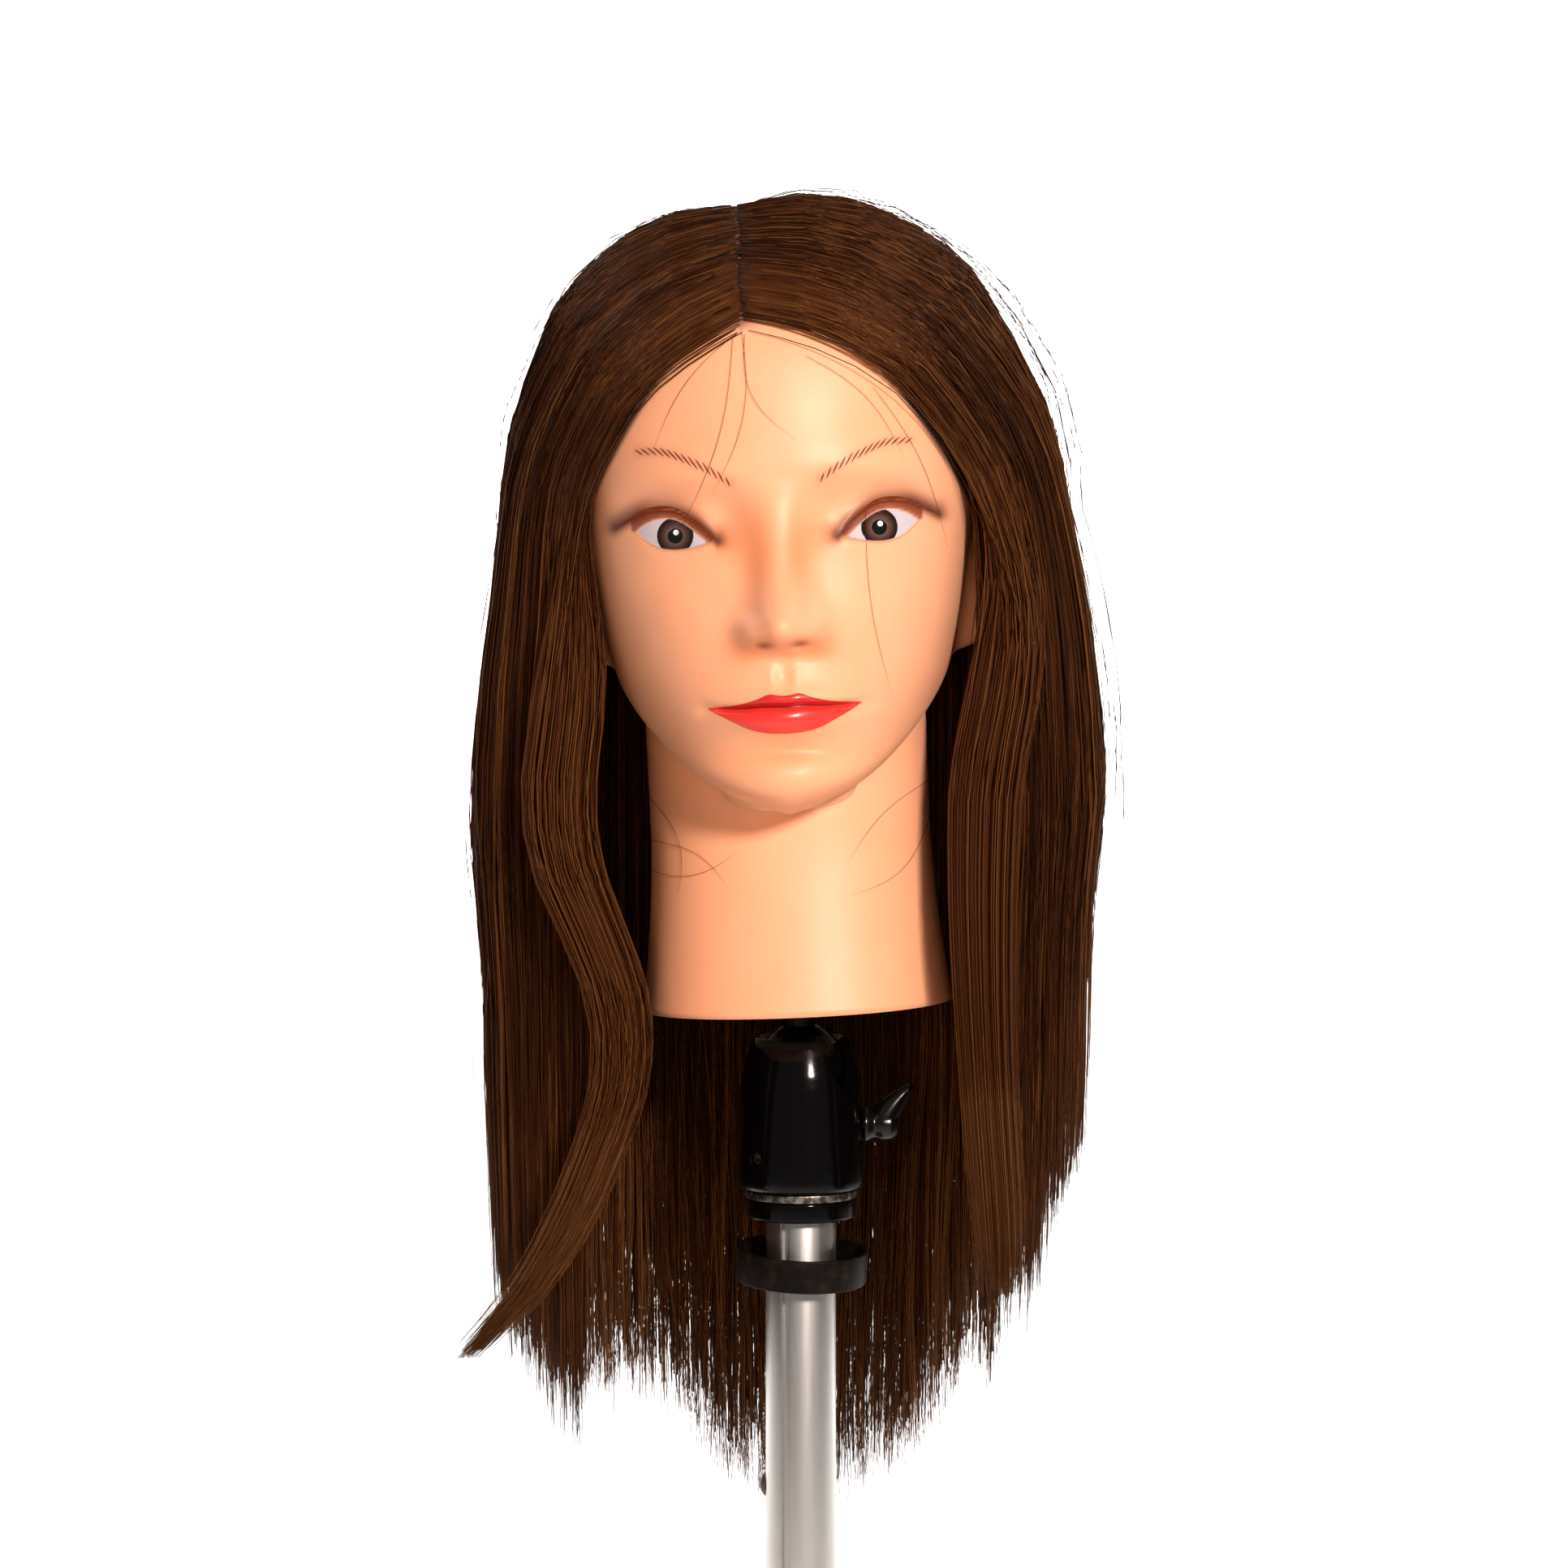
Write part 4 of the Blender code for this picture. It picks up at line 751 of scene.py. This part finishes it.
def tubes(name, paths, thickness, shades):
    """One piece of many tapering three-sided strands; shades says which brown each one is."""
    count, stations = paths.shape[:2]
    forward = unit(np.gradient(paths, axis=1))
    outward = paths * (1.0, 1.0, 0.0)
    sideways = unit(np.cross(forward, unit(outward + np.array((1e-4, 0, 0)))))
    normal = np.cross(sideways, forward)
    turn = rng.random(count)[:, None, None] * 2 * np.pi + np.arange(SIDES) * 2 * np.pi / SIDES
    share = np.linspace(0, 1, stations)[None, :, None]
    taper = (0.75 + 0.25 * smooth(0, 0.1, share)) * (1 - 0.72 * smooth(0.62, 1.0, share))
    radius = thickness[:, None, None] * taper
    ring = paths[:, :, None] + radius[..., None] * (
        np.cos(turn)[..., None] * normal[:, :, None] + np.sin(turn)[..., None] * sideways[:, :, None]
    )
    first = np.arange(count)[:, None, None] * stations * SIDES
    step, side = np.meshgrid(np.arange(stations - 1), np.arange(SIDES), indexing="ij")
    a = first + step * SIDES + side
    b = first + step * SIDES + (side + 1) % SIDES
    quads = np.stack([a, b, b + SIDES, a + SIDES], axis=-1).reshape(-1, 4)
    start = first[:, 0]
    ends = np.concatenate([
        start + np.array((2, 1, 0)), start + (stations - 1) * SIDES + np.array((0, 1, 2))
    ])
    made = build(name, ring.reshape(-1, 3), quads, ends)
    tip = (np.arange(stations - 1) > 0.80 * stations).astype(int)
    kinds = np.clip(shades[:, None] + tip[None, :], 0, len(HAIR_BROWNS) - 1)
    kinds = np.repeat(kinds, SIDES, axis=1).ravel()
    made.data.polygons.foreach_set(
        "material_index", np.concatenate([kinds, np.tile(shades, 2)]).astype(np.int32)
    )
    for finish in hair_finishes:
        made.data.materials.append(finish)
    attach(made, "head")
    return made


HAIR_BROWNS = ("241108", "32190b", "402110", "512e17", "664020", "805633")
hair_finishes = [
    material(
        f"brown hair {index + 1}", code, 0.48, Specular_IOR_Level=0.22, Specular_Tint=linear("e0a068")
    )[0]
    for index, code in enumerate(HAIR_BROWNS)
]
for word, sign in (("left", -1.0), ("right", 1.0)):
    total, span = STRANDS_A_SIDE, MIDDLE_BACK - FRONT_EDGES[word]
    under = np.arange(total) < UNDER_SHARE * total
    hang = rng.random(total) ** 0.85
    hang[under] = ((np.arange(under.sum()) + rng.random(under.sum())) / under.sum()) ** 0.80
    hang = FRONT_EDGES[word] + 0.02 * under + (span - 0.02) * hang
    layer = np.where(rng.random(total) < 0.5, 0.28 * rng.random(total), rng.random(total))
    layer[under] = 0.30 + 0.60 * rng.random(under.sum())
    clump_hang = FRONT_EDGES[word] + span * rng.random(CLUMPS_A_SIDE)
    clump_layer = rng.random(CLUMPS_A_SIDE) ** 1.5
    nearest = np.argmin(
        ((hang[:, None] - clump_hang) * 2.0) ** 2 + (0.5 * (layer[:, None] - clump_layer)) ** 2, axis=1
    )
    dome = over_the_dome(sign, hang, layer, DOME_STEPS)
    ragged = rng.exponential(0.011, CLUMPS_A_SIDE)[nearest] + rng.exponential(0.016, total)
    ragged += np.where(rng.random(total) < 0.14, rng.random(total) * 0.080, 0.0)
    across = dome[:, -1, 0] * 1.09 - 0.0074
    ends = along(ENDS, np.clip(across, ENDS[0][0], ENDS[-1][0])) + ragged + 0.014 * under
    gather = np.where(under, hang, clump_hang[nearest])
    hung = hanging(dome, hang, layer, gather, clump_layer[nearest], ends, HANG_STEPS)
    phase, length = rng.random(CLUMPS_A_SIDE) * 6.28, 0.10 + 0.10 * rng.random(CLUMPS_A_SIDE)
    size = (0.0008 + rng.exponential(0.0012, CLUMPS_A_SIDE))[nearest] * (1 - 0.7 * under)
    wave = size[:, None] * np.sin(
        hung[..., 2] / length[nearest][:, None] * 6.28 + phase[nearest][:, None]
    ) * smooth(0.0, 0.35, HANG_STEPS)[None, :]
    frizz = np.cumsum(rng.normal(0, 0.00035, (total, len(HANG_STEPS))), axis=1)
    tangent = unit(np.stack([
        HAIR_CENTRE[1] - hung[..., 1], hung[..., 0], np.zeros(hung.shape[:2])
    ], axis=-1))
    hung += tangent * (wave + frizz)[..., None]
    paths = np.concatenate([dome, hung], axis=1)
    for _ in range(2):
        paths[:, 6:13] = 0.5 * paths[:, 6:13] + 0.25 * (paths[:, 5:12] + paths[:, 7:14])
    paths = settled(paths)
    # strands that hang behind BACK_FROM are lifted a shade, as painted light on the back hair
    shades = np.clip(np.round(
        1.8 + (hang > BACK_FROM) + rng.normal(0, 0.8, total) + rng.normal(0, 0.9, CLUMPS_A_SIDE)[nearest]
    ), 0, 4).astype(int)
    thickness = STRAND_R * (0.75 + 0.5 * rng.random(total))
    # the under tufts take the two darkest browns, as painted shade inside the hair
    shades[under], thickness[under] = rng.integers(0, 2, under.sum()), UNDER_R
    order = np.argsort(hang)
    for index, part in enumerate(np.array_split(order, PIECES_A_SIDE)):
        piece = tubes(f"strands_{word}_{index + 1}", paths[part], thickness[part], shades[part])
        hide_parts(f"hair_{('front', 'side', 'back', 'crown')[index]}_{word}")

# Two locks of the same hair fall in front of the neck's sides, the left one in a deep wave, and loose hairs
# stray from the rest. Knots of the locks are height and place across, depth or half width.
LOCK_STRANDS, LOOSE_STRANDS = 700, 45
LOCKS = {
    "left": ((0.130, -0.1180), (0.160, -0.1080), (0.180, -0.0890), (0.200, -0.0760), (0.226, -0.0640),
             (0.255, -0.0550), (0.283, -0.0560), (0.305, -0.0640), (0.328, -0.0735), (0.355, -0.0765),
             (0.380, -0.0735), (0.405, -0.0700), (0.446, -0.0650)),
    "right": ((0.130, 0.0780), (0.200, 0.0755), (0.240, 0.0725), (0.280, 0.0705), (0.330, 0.0705),
              (0.355, 0.0720), (0.378, 0.0770), (0.400, 0.0810), (0.446, 0.0780)),
}
LOCK_DEPTH = ((0.130, -0.040), (0.226, -0.050), (0.283, -0.052), (0.355, -0.040), (0.446, -0.034))
LOCK_HALF = ((0.130, 0.0030), (0.190, 0.0070), (0.260, 0.0080), (0.330, 0.0095), (0.400, 0.0105),
             (0.446, 0.0110))
LOCK_ENDS = {"left": 0.158, "right": 0.172}
LOOSE_R = 0.00015
LOCK_STEPS = np.linspace(0, 1, 17)[1:]
for word, sign in (("left", -1.0), ("right", 1.0)):
    hang = FRONT_EDGES[word] + radians(5) + radians(3) * rng.normal(0, 1, LOCK_STRANDS)
    layer = 0.10 * rng.random(LOCK_STRANDS)
    dome = over_the_dome(sign, hang, layer, DOME_STEPS)
    ends = LOCK_ENDS[word] + rng.exponential(0.014, LOCK_STRANDS)
    hung = hanging(dome, hang, layer, hang, layer, ends, LOCK_STEPS)
    height = hung[..., 2]
    spot = np.clip(rng.normal(0, 0.55, (2, LOCK_STRANDS, 1)), -1.3, 1.3)
    half = along(LOCK_HALF, height)
    drawn_in = 1 - smooth(0.398, HANG_Z, height)
    aim_x = along(LOCKS[word], height) + spot[0] * half
    aim_y = along(LOCK_DEPTH, height) + spot[1] * half * 0.6
    hung[..., 0] += (aim_x - hung[..., 0]) * drawn_in
    hung[..., 1] += (aim_y - hung[..., 1]) * drawn_in
    paths = np.concatenate([dome, hung], axis=1)
    for _ in range(3):
        paths[:, 6:14] = 0.5 * paths[:, 6:14] + 0.25 * (paths[:, 5:13] + paths[:, 7:15])
    shades = np.clip(np.round(2.6 + rng.normal(0, 0.9, LOCK_STRANDS)), 0, 4).astype(int)
    thickness = STRAND_R * (0.7 + 0.5 * rng.random(LOCK_STRANDS))
    tubes(f"lock_{word}", settled(paths), thickness, shades)

    hang = FRONT_EDGES[word] + (MIDDLE_BACK - FRONT_EDGES[word]) * rng.random(LOOSE_STRANDS)
    layer = -0.04 - 0.20 * rng.random(LOOSE_STRANDS) ** 2
    dome = over_the_dome(sign, hang, layer * 0, DOME_STEPS)
    lifted = 1 - 0.25 * layer[:, None, None] * smooth(0, 0.4, DOME_STEPS)[:, None]
    dome = HAIR_CENTRE + (dome - HAIR_CENTRE) * lifted
    ends = along(ENDS, np.clip(dome[:, -1, 0] * 1.09, ENDS[0][0], ENDS[-1][0]))
    ends += rng.random(LOOSE_STRANDS) * 0.12
    hung = hanging(dome, hang, layer, hang, layer, ends, LOCK_STEPS)
    bend = rng.normal(0, 0.0045, (LOOSE_STRANDS, 2, 1)) * np.sin(
        LOCK_STEPS * (3 + 5 * rng.random((LOOSE_STRANDS, 2, 1))) + 6.28 * rng.random((LOOSE_STRANDS, 2, 1))
    ) * LOCK_STEPS
    hung[..., :2] += np.moveaxis(bend, 1, 2)
    tubes(f"loose_{word}", settled(np.concatenate([dome, hung], axis=1)), np.full(LOOSE_STRANDS, LOOSE_R),
          np.full(LOOSE_STRANDS, 1))

# A few single hairs lie across the face and the neck. Each has its start and its end, as places across and up,
# and a sideways bow.
STRAYS = (
    ((-0.009, 0.508), (-0.022, 0.452), 0.006), ((-0.010, 0.507), (-0.040, 0.470), -0.004),
    ((-0.008, 0.506), (0.008, 0.470), -0.007), ((-0.012, 0.506), (-0.034, 0.440), 0.005),
    ((0.012, 0.498), (0.044, 0.462), 0.005), ((0.034, 0.487), (0.058, 0.432), 0.004),
    ((0.030, 0.446), (0.037, 0.381), -0.003), ((-0.053, 0.324), (-0.018, 0.331), -0.005),
    ((-0.050, 0.334), (-0.022, 0.318), 0.005), ((0.049, 0.338), (0.020, 0.314), 0.006),
    ((0.052, 0.352), (0.020, 0.326), -0.004), ((-0.050, 0.350), (-0.040, 0.316), 0.006),
)
STRAY_STEPS = np.linspace(0, 1, 15)
STRAY_R = 0.00009
lines = []
for start, end, bow in STRAYS:
    run = np.subtract(end, start)
    across = start[0] + run[0] * STRAY_STEPS - bow * np.sin(np.pi * STRAY_STEPS) * run[1] / np.hypot(*run)
    up = start[1] + run[1] * STRAY_STEPS + bow * np.sin(np.pi * STRAY_STEPS) * run[0] / np.hypot(*run)
    lines.append(np.stack([across, skin_depth(across, up) - 0.0008, up], axis=-1))
tubes("stray_hairs", leaned(np.array(lines)), np.full(len(lines), STRAY_R), np.full(len(lines), 2))

# The holder's metal and plastic, and the finishes of the pieces kept as they are in the frame: black enamel on
# the housing, ball and pan ring, dusty plastic cup and plugs, brushed tube, and steel that has gone grimy.
TURN_STEPS = 128


def two_tone(tree, shader, pattern, dark, light):
    """Colours a shader by a pattern, from a dark stop to a light one, each a place and a colour."""
    ramp = node(tree, "ShaderNodeValToRGB", [("Fac", pattern.outputs["Fac"])])
    for stop, (place, code) in zip(ramp.color_ramp.elements, (dark, light)):
        stop.position, stop.color = place, linear(code)
    tree.links.new(ramp.outputs["Color"], shader.inputs["Base Color"])


# the enamel's gloss is broken by fine specks, and the brushed tube's streaks run along it
SPECK_MM, DUST_MM, GRIME_MM, STREAK_MM = 1.1, 4.2, 2.4, 0.38
enamel, tree, shader = material("gloss black enamel", "050404", 0.14, Specular_IOR_Level=0.28)
specks = noise(tree, 1000 / SPECK_MM, 4.0)
worn = node(tree, "ShaderNodeMapRange", [("Value", specks.outputs["Fac"])])
worn.inputs["From Min"].default_value, worn.inputs["From Max"].default_value = 0.50, 0.80
worn.inputs["To Min"].default_value, worn.inputs["To Max"].default_value = 0.11, 0.17
tree.links.new(worn.outputs["Result"], shader.inputs["Roughness"])
plastic, tree, shader = material("dusty black plastic", "16110e", 0.40, Specular_IOR_Level=0.12)
two_tone(tree, shader, noise(tree, 1000 / DUST_MM, 5.0), (0.48, "0e0a08"), (0.90, "2c2118"))
aluminium, tree, shader = material("brushed anodised aluminium", "dcd8d2", 0.34, Metallic=1.0)
coordinates = node(tree, "ShaderNodeTexCoord")
stretched = node(tree, "ShaderNodeMapping", [("Vector", coordinates.outputs["Object"])])
stretched.inputs["Scale"].default_value = (1.0, 1.0, 0.012)
brushed = noise(tree, 1000 / STREAK_MM, 2.0, stretched.outputs["Vector"])
streaks = node(tree, "ShaderNodeMapRange", [("Value", brushed.outputs["Fac"])])
streaks.inputs["To Min"].default_value, streaks.inputs["To Max"].default_value = 0.28, 0.44
tree.links.new(streaks.outputs["Result"], shader.inputs["Roughness"])
steel, tree, shader = material("grimy steel", "8d8478", 0.36, Metallic=1.0)
two_tone(tree, shader, noise(tree, 1000 / GRIME_MM, 4.0), (0.40, "5a5046"), (0.62, "b5aea4"))
# the stem, which sits in the housing's shade, and the bolt, lock screw and wedge block share a dark steel
# colour as painted shade
steel_in_shade, _, _ = material("shade_darkened steel", "3a3632", 0.38, Metallic=1.0)
rubber, _, _ = material("ribbed black rubber", "141312", 0.75)
beige, _, _ = material("beige moulded plastic", "c9b28c", 0.48)
foam, _, _ = material("rigid foam", "d8cfae", 0.90)
brown, _, _ = material("brown snap-button plastic", "4a3018", 0.45)
for finish, names in (
    (enamel, ("tilt_ball",)), (steel_in_shade, ("stem", "pan_bolt", "lock_screw", "wedge_block")),
    (steel, ("set_screw", "cone_washer", "cone_screw", "snap_spring")),
    (plastic, ("column_end_plug", "column_top_plug", "housing_base")), (rubber, ("grip_cone",)),
    (beige, ("ball_seat", "neck_socket", "neck_base_plate")), (foam, ("head_core",)),
    (brown, ("snap_button",)),
):
    for name in names:
        nodes[name].data.materials.clear()
        nodes[name].data.materials.append(finish)


# The column, pan ring and its washer: turned on a lathe, at a finer step than the frame's solids and with their
# edges eased. The column is a drawn tube with a narrow groove along its left front.
def eased(profile, radius, steps=4):
    """A closed outline of (radius, height) points with its corners rounded off."""
    profile = np.asarray(profile)
    before, after = np.roll(profile, 1, axis=0), np.roll(profile, -1, axis=0)
    points = []
    for back, corner, ahead in zip(before, profile, after):
        into, out = back - corner, ahead - corner
        reach = min(radius, 0.4 * np.linalg.norm(into), 0.4 * np.linalg.norm(out))
        start, end = (corner + way / np.linalg.norm(way) * reach for way in (into, out))
        for share in np.linspace(0, 1, steps):
            points.append((1 - share) ** 2 * start + 2 * share * (1 - share) * corner + share**2 * end)
    return np.array(points)


def turned(name, profile, steps=TURN_STEPS):
    """A closed outline of (radius, height) points, its outer side from top to bottom, turned about Z."""
    angle = np.linspace(0, 2 * np.pi, steps, endpoint=False)[:, None]
    count = len(profile)
    points = np.stack([
        profile[:, 0] * np.sin(angle), -profile[:, 0] * np.cos(angle),
        np.broadcast_to(profile[:, 1], (steps, count)),
    ], axis=-1)
    row, column = np.meshgrid(np.arange(steps), np.arange(count), indexing="ij")
    a, b = row * count + column, (row + 1) % steps * count + column
    c, d = (row + 1) % steps * count + (column + 1) % count, row * count + (column + 1) % count
    return build(name, points, np.stack([a, d, c, b], axis=-1).reshape(-1, 4))


def outward(azimuth, radius, height):
    """The place at an azimuth from the front towards +X."""
    return Vector((radius * np.sin(azimuth), -radius * np.cos(azimuth), height))


def finished(piece, finish, body, slot, *replaced):
    """Gives a piece its finish and body, and hides the CAD nodes it stands for; the slot is not used."""
    piece.data.materials.append(finish)
    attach(piece, body)
    if replaced:
        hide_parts(*replaced)


def cut(piece, start, end, radius, slot_top=None):
    """Takes a round hole out of a piece, open upwards to a height if one is given."""
    run = end - start
    angle = np.linspace(0, 2 * np.pi, 64, endpoint=False)
    if slot_top is None:
        ring = np.stack([radius * np.cos(angle), radius * np.sin(angle)], axis=1)
    else:
        low = angle[angle >= np.pi - 1e-6]
        ring = np.stack([radius * np.cos(low), radius * np.sin(low)], axis=1)
        ring = np.concatenate([ring, [(radius, 0.0), (radius, slot_top), (-radius, slot_top)]])
    sideways = run.normalized().cross(Vector((0, 0, 1))).normalized()
    upwards = sideways.cross(run.normalized())
    ends = [
        [np.array(foot + sideways * x + upwards * y) for x, y in ring] for foot in (start, end)
    ]
    count = len(ring)
    around = np.arange(count)
    quads = np.stack([around, around + count, (around + 1) % count + count, (around + 1) % count], axis=1)
    mesh = bpy.data.meshes.new("cutter")
    mesh.from_pydata(
        [tuple(p) for p in ends[0] + ends[1]], [],
        [tuple(q) for q in quads.tolist()] + [tuple(range(count)), tuple(range(count, 2 * count))[::-1]],
    )
    shape = bmesh.new()
    shape.from_mesh(mesh)
    bmesh.ops.recalc_face_normals(shape, faces=shape.faces)
    shape.to_mesh(mesh)
    shape.free()
    cutter = bpy.data.objects.new("cutter", mesh)
    bpy.context.scene.collection.objects.link(cutter)
    step = piece.modifiers.new("cut", "BOOLEAN")
    step.operation, step.solver, step.object = "DIFFERENCE", "EXACT", cutter
    made = bpy.data.meshes.new_from_object(piece.evaluated_get(bpy.context.evaluated_depsgraph_get()))
    piece.modifiers.clear()
    piece.data = made
    made.set_sharp_from_angle(angle=radians(32))
    bpy.data.objects.remove(cutter)


COLUMN_R, COLUMN_BORE, COLUMN_LOW, COLUMN_HIGH, COLUMN_STEPS = 0.0125, 0.0110, 0.0033, 0.1964, 240
BUTTON_AZIMUTH, BUTTON_Z, BUTTON_HOLE_R = radians(-108), 0.100, 0.0057
GROOVE_AZIMUTH, GROOVE_HALF, GROOVE_DEPTH = radians(-26), 0.0016, 0.0014
column = turned("aluminium_column", eased(
    [(COLUMN_R, COLUMN_HIGH), (COLUMN_R, COLUMN_LOW), (COLUMN_BORE, COLUMN_LOW), (COLUMN_BORE, COLUMN_HIGH)],
    0.0003,
), COLUMN_STEPS)
place = np.empty(len(column.data.vertices) * 3, np.float32)
column.data.vertices.foreach_get("co", place)
place = place.reshape(-1, 3)
radius, azimuth = np.hypot(place[:, 0], place[:, 1]), np.arctan2(place[:, 0], -place[:, 1])
off = np.abs(azimuth - GROOVE_AZIMUTH) * COLUMN_R
dip = GROOVE_DEPTH * (1 - smooth(GROOVE_HALF - 0.0004, GROOVE_HALF, off)) * (radius > COLUMN_R - 0.0005)
place[:, :2] *= (1 - dip / radius)[:, None]
column.data.vertices.foreach_set("co", place.ravel())
cut(column, outward(BUTTON_AZIMUTH, 0.006, BUTTON_Z), outward(BUTTON_AZIMUTH, 0.018, BUTTON_Z), BUTTON_HOLE_R)
finished(column, aluminium, "column", "aluminium", "column_tube")

PAN_R, PAN_LOW, PAN_TOP, BOLT_R = 0.0200, 0.1967, 0.2037, 0.0043
finished(turned("black_pan_ring", eased(
    [(0.0090, 0.2230), (0.0090, PAN_TOP), (PAN_R, PAN_TOP), (PAN_R, PAN_LOW + 0.0008),
     (PAN_R - 0.0012, PAN_LOW), (BOLT_R, PAN_LOW), (BOLT_R, 0.2160), (0.0068, 0.2160), (0.0068, 0.2230)],
    0.0006,
)), enamel, "column", "black_enamel", "pan_ring")
finished(turned("pan_joint_washer", eased(
    [(PAN_R - 0.0002, 0.2068), (PAN_R - 0.0002, 0.2040), (0.0093, 0.2040), (0.0093, 0.2068)], 0.0004
)), steel, "column", "steel", "pan_washer")

# The trim cup: a loose moulded plastic ring with a floor, which has slid down the column and hangs askew on it.
CUP_R, CUP_HEIGHT, CUP_PITCH, CUP_TILT, CUP_Z = 0.0235, 0.0118, radians(3.6), radians(2.2), 0.1740
cup = turned("loose_trim_cup", eased(
    [(CUP_R, CUP_HEIGHT), (CUP_R - 0.0003, 0.0), (0.0134, 0.0), (0.0134, 0.0020), (CUP_R - 0.0022, 0.0020),
     (CUP_R - 0.0013, CUP_HEIGHT)], 0.0005
))
askew = Matrix.Rotation(CUP_TILT, 4, "Y") @ Matrix.Rotation(CUP_PITCH, 4, "X")
cup.data.transform(Matrix.Translation((0.0, 0.0, CUP_Z)) @ askew)
finished(cup, plastic, "cup", "black_plastic", "trim_cup")

# The housing: an enamelled casting with a round seat for the ball, a U-shaped notch in its rim that the stem
# drops into, and holes for the lock screw and the set screw.
BORE_R, HOUSING_LOW = 0.0158, 0.2075
LOCK_Z, LOCK_HOLE_R = 0.2300, 0.0033
inside = [(np.sqrt(BORE_R**2 - (h - BALL[2]) ** 2), h) for h in np.linspace(0.2500, 0.2608, 9)]
housing = turned("enamelled_housing", eased(
    [(0.0153, 0.2612), (0.0166, 0.2609), (0.0178, 0.2588), (0.0193, 0.2540), (0.0207, 0.2490),
     (0.0214, 0.2440), (0.0220, 0.2340), (0.0228, 0.2230), (0.0235, 0.2140), (0.0236, 0.2105),
     (0.0232, 0.2088), (0.0222, 0.2077), (0.0206, HOUSING_LOW), (BORE_R, HOUSING_LOW)] + inside[:-1],
    0.0016, 6,
))
NOTCH_AZIMUTH, NOTCH_R = radians(53), 0.0076
cut(housing, outward(NOTCH_AZIMUTH, 0.006, BALL[2]), outward(NOTCH_AZIMUTH, 0.030, BALL[2]), NOTCH_R, 0.03)
cut(housing, Vector((0.010, 0.0, LOCK_Z)), Vector((0.030, 0.0, LOCK_Z)), LOCK_HOLE_R)
SET_AZIMUTH, SET_Z, SET_HOLE_R = radians(-45), 0.2194, 0.0028
cut(housing, outward(SET_AZIMUTH, 0.006, SET_Z), outward(SET_AZIMUTH, 0.030, SET_Z), SET_HOLE_R)
eases = housing.modifiers.new("ease", "BEVEL")
eases.width, eases.segments, eases.limit_method, eases.angle_limit = 0.0008, 3, "ANGLE", radians(40)
finished(housing, enamel, "housing", "black_enamel", "housing")

# The wing handle: a gloss black casting, with a round hub on the lock screw and a bent lever that thins to a
# flat tip. It turns about the screw.
hub = eased([(0.0040, 0.0345), (0.0057, 0.0322), (0.0060, 0.0290), (0.0050, 0.0262), (0.0062, 0.0240),
             (0.0066, 0.0225), (0.0033, 0.0225), (0.0033, 0.0318), (0.0010, 0.0320), (0.0010, 0.0345)], 0.0007)
handle = turned("wing_hub", hub, 64)
handle.data.transform(Matrix.Translation((0.0, 0.0, LOCK_Z)) @ Matrix.Rotation(np.pi / 2, 4, "Y"))
casting, _, _ = material("gloss black casting", "080707", 0.22, Specular_IOR_Level=0.5)
finished(handle, casting, "lock", "black_plastic", "wing_handle")
LEVER = np.array((
    (0.0285, 0.0000, 0.0052, 0.0056), (0.0300, 0.0030, 0.0050, 0.0056), (0.0325, 0.0065, 0.0044, 0.0050),
    (0.0350, 0.0094, 0.0034, 0.0042), (0.0368, 0.0112, 0.0026, 0.0036), (0.0384, 0.0127, 0.0020, 0.0031),
    (0.0392, 0.0136, 0.0013, 0.0022),
))
LEVER_RINGS = 40
spine = through(LEVER, np.linspace(0, len(LEVER) - 1, LEVER_RINGS))
forward = np.gradient(spine[:, :2], axis=0)
forward /= np.linalg.norm(forward, axis=1, keepdims=True)
turn = np.linspace(0, 2 * np.pi, LEVER_RINGS, endpoint=False)
lever_points = np.stack([
    spine[:, :1] - forward[:, 1:] * spine[:, 2:3] * np.cos(turn), spine[:, 3:4] * np.sin(turn),
    LOCK_Z + spine[:, 1:2] + forward[:, :1] * spine[:, 2:3] * np.cos(turn),
], axis=-1)
tips = np.array([
    (spine[0, 0] - 0.001, 0.0, LOCK_Z + spine[0, 1]),
    (spine[-1, 0] + 0.0006, 0.0, LOCK_Z + spine[-1, 1] + 0.0010),
])
count = LEVER_RINGS**2
low, high = np.arange(LEVER_RINGS), np.arange(count - LEVER_RINGS, count)
caps = np.concatenate([
    np.stack([np.roll(low, -1), low, np.full(LEVER_RINGS, count)], axis=1),
    np.stack([high, np.roll(high, -1), np.full(LEVER_RINGS, count + 1)], axis=1),
])
lever = build(
    "wing_lever", np.concatenate([lever_points.reshape(-1, 3), tips]),
    grid_faces(LEVER_RINGS, LEVER_RINGS, 0, True), caps,
)
finished(lever, casting, "lock", "black_plastic")
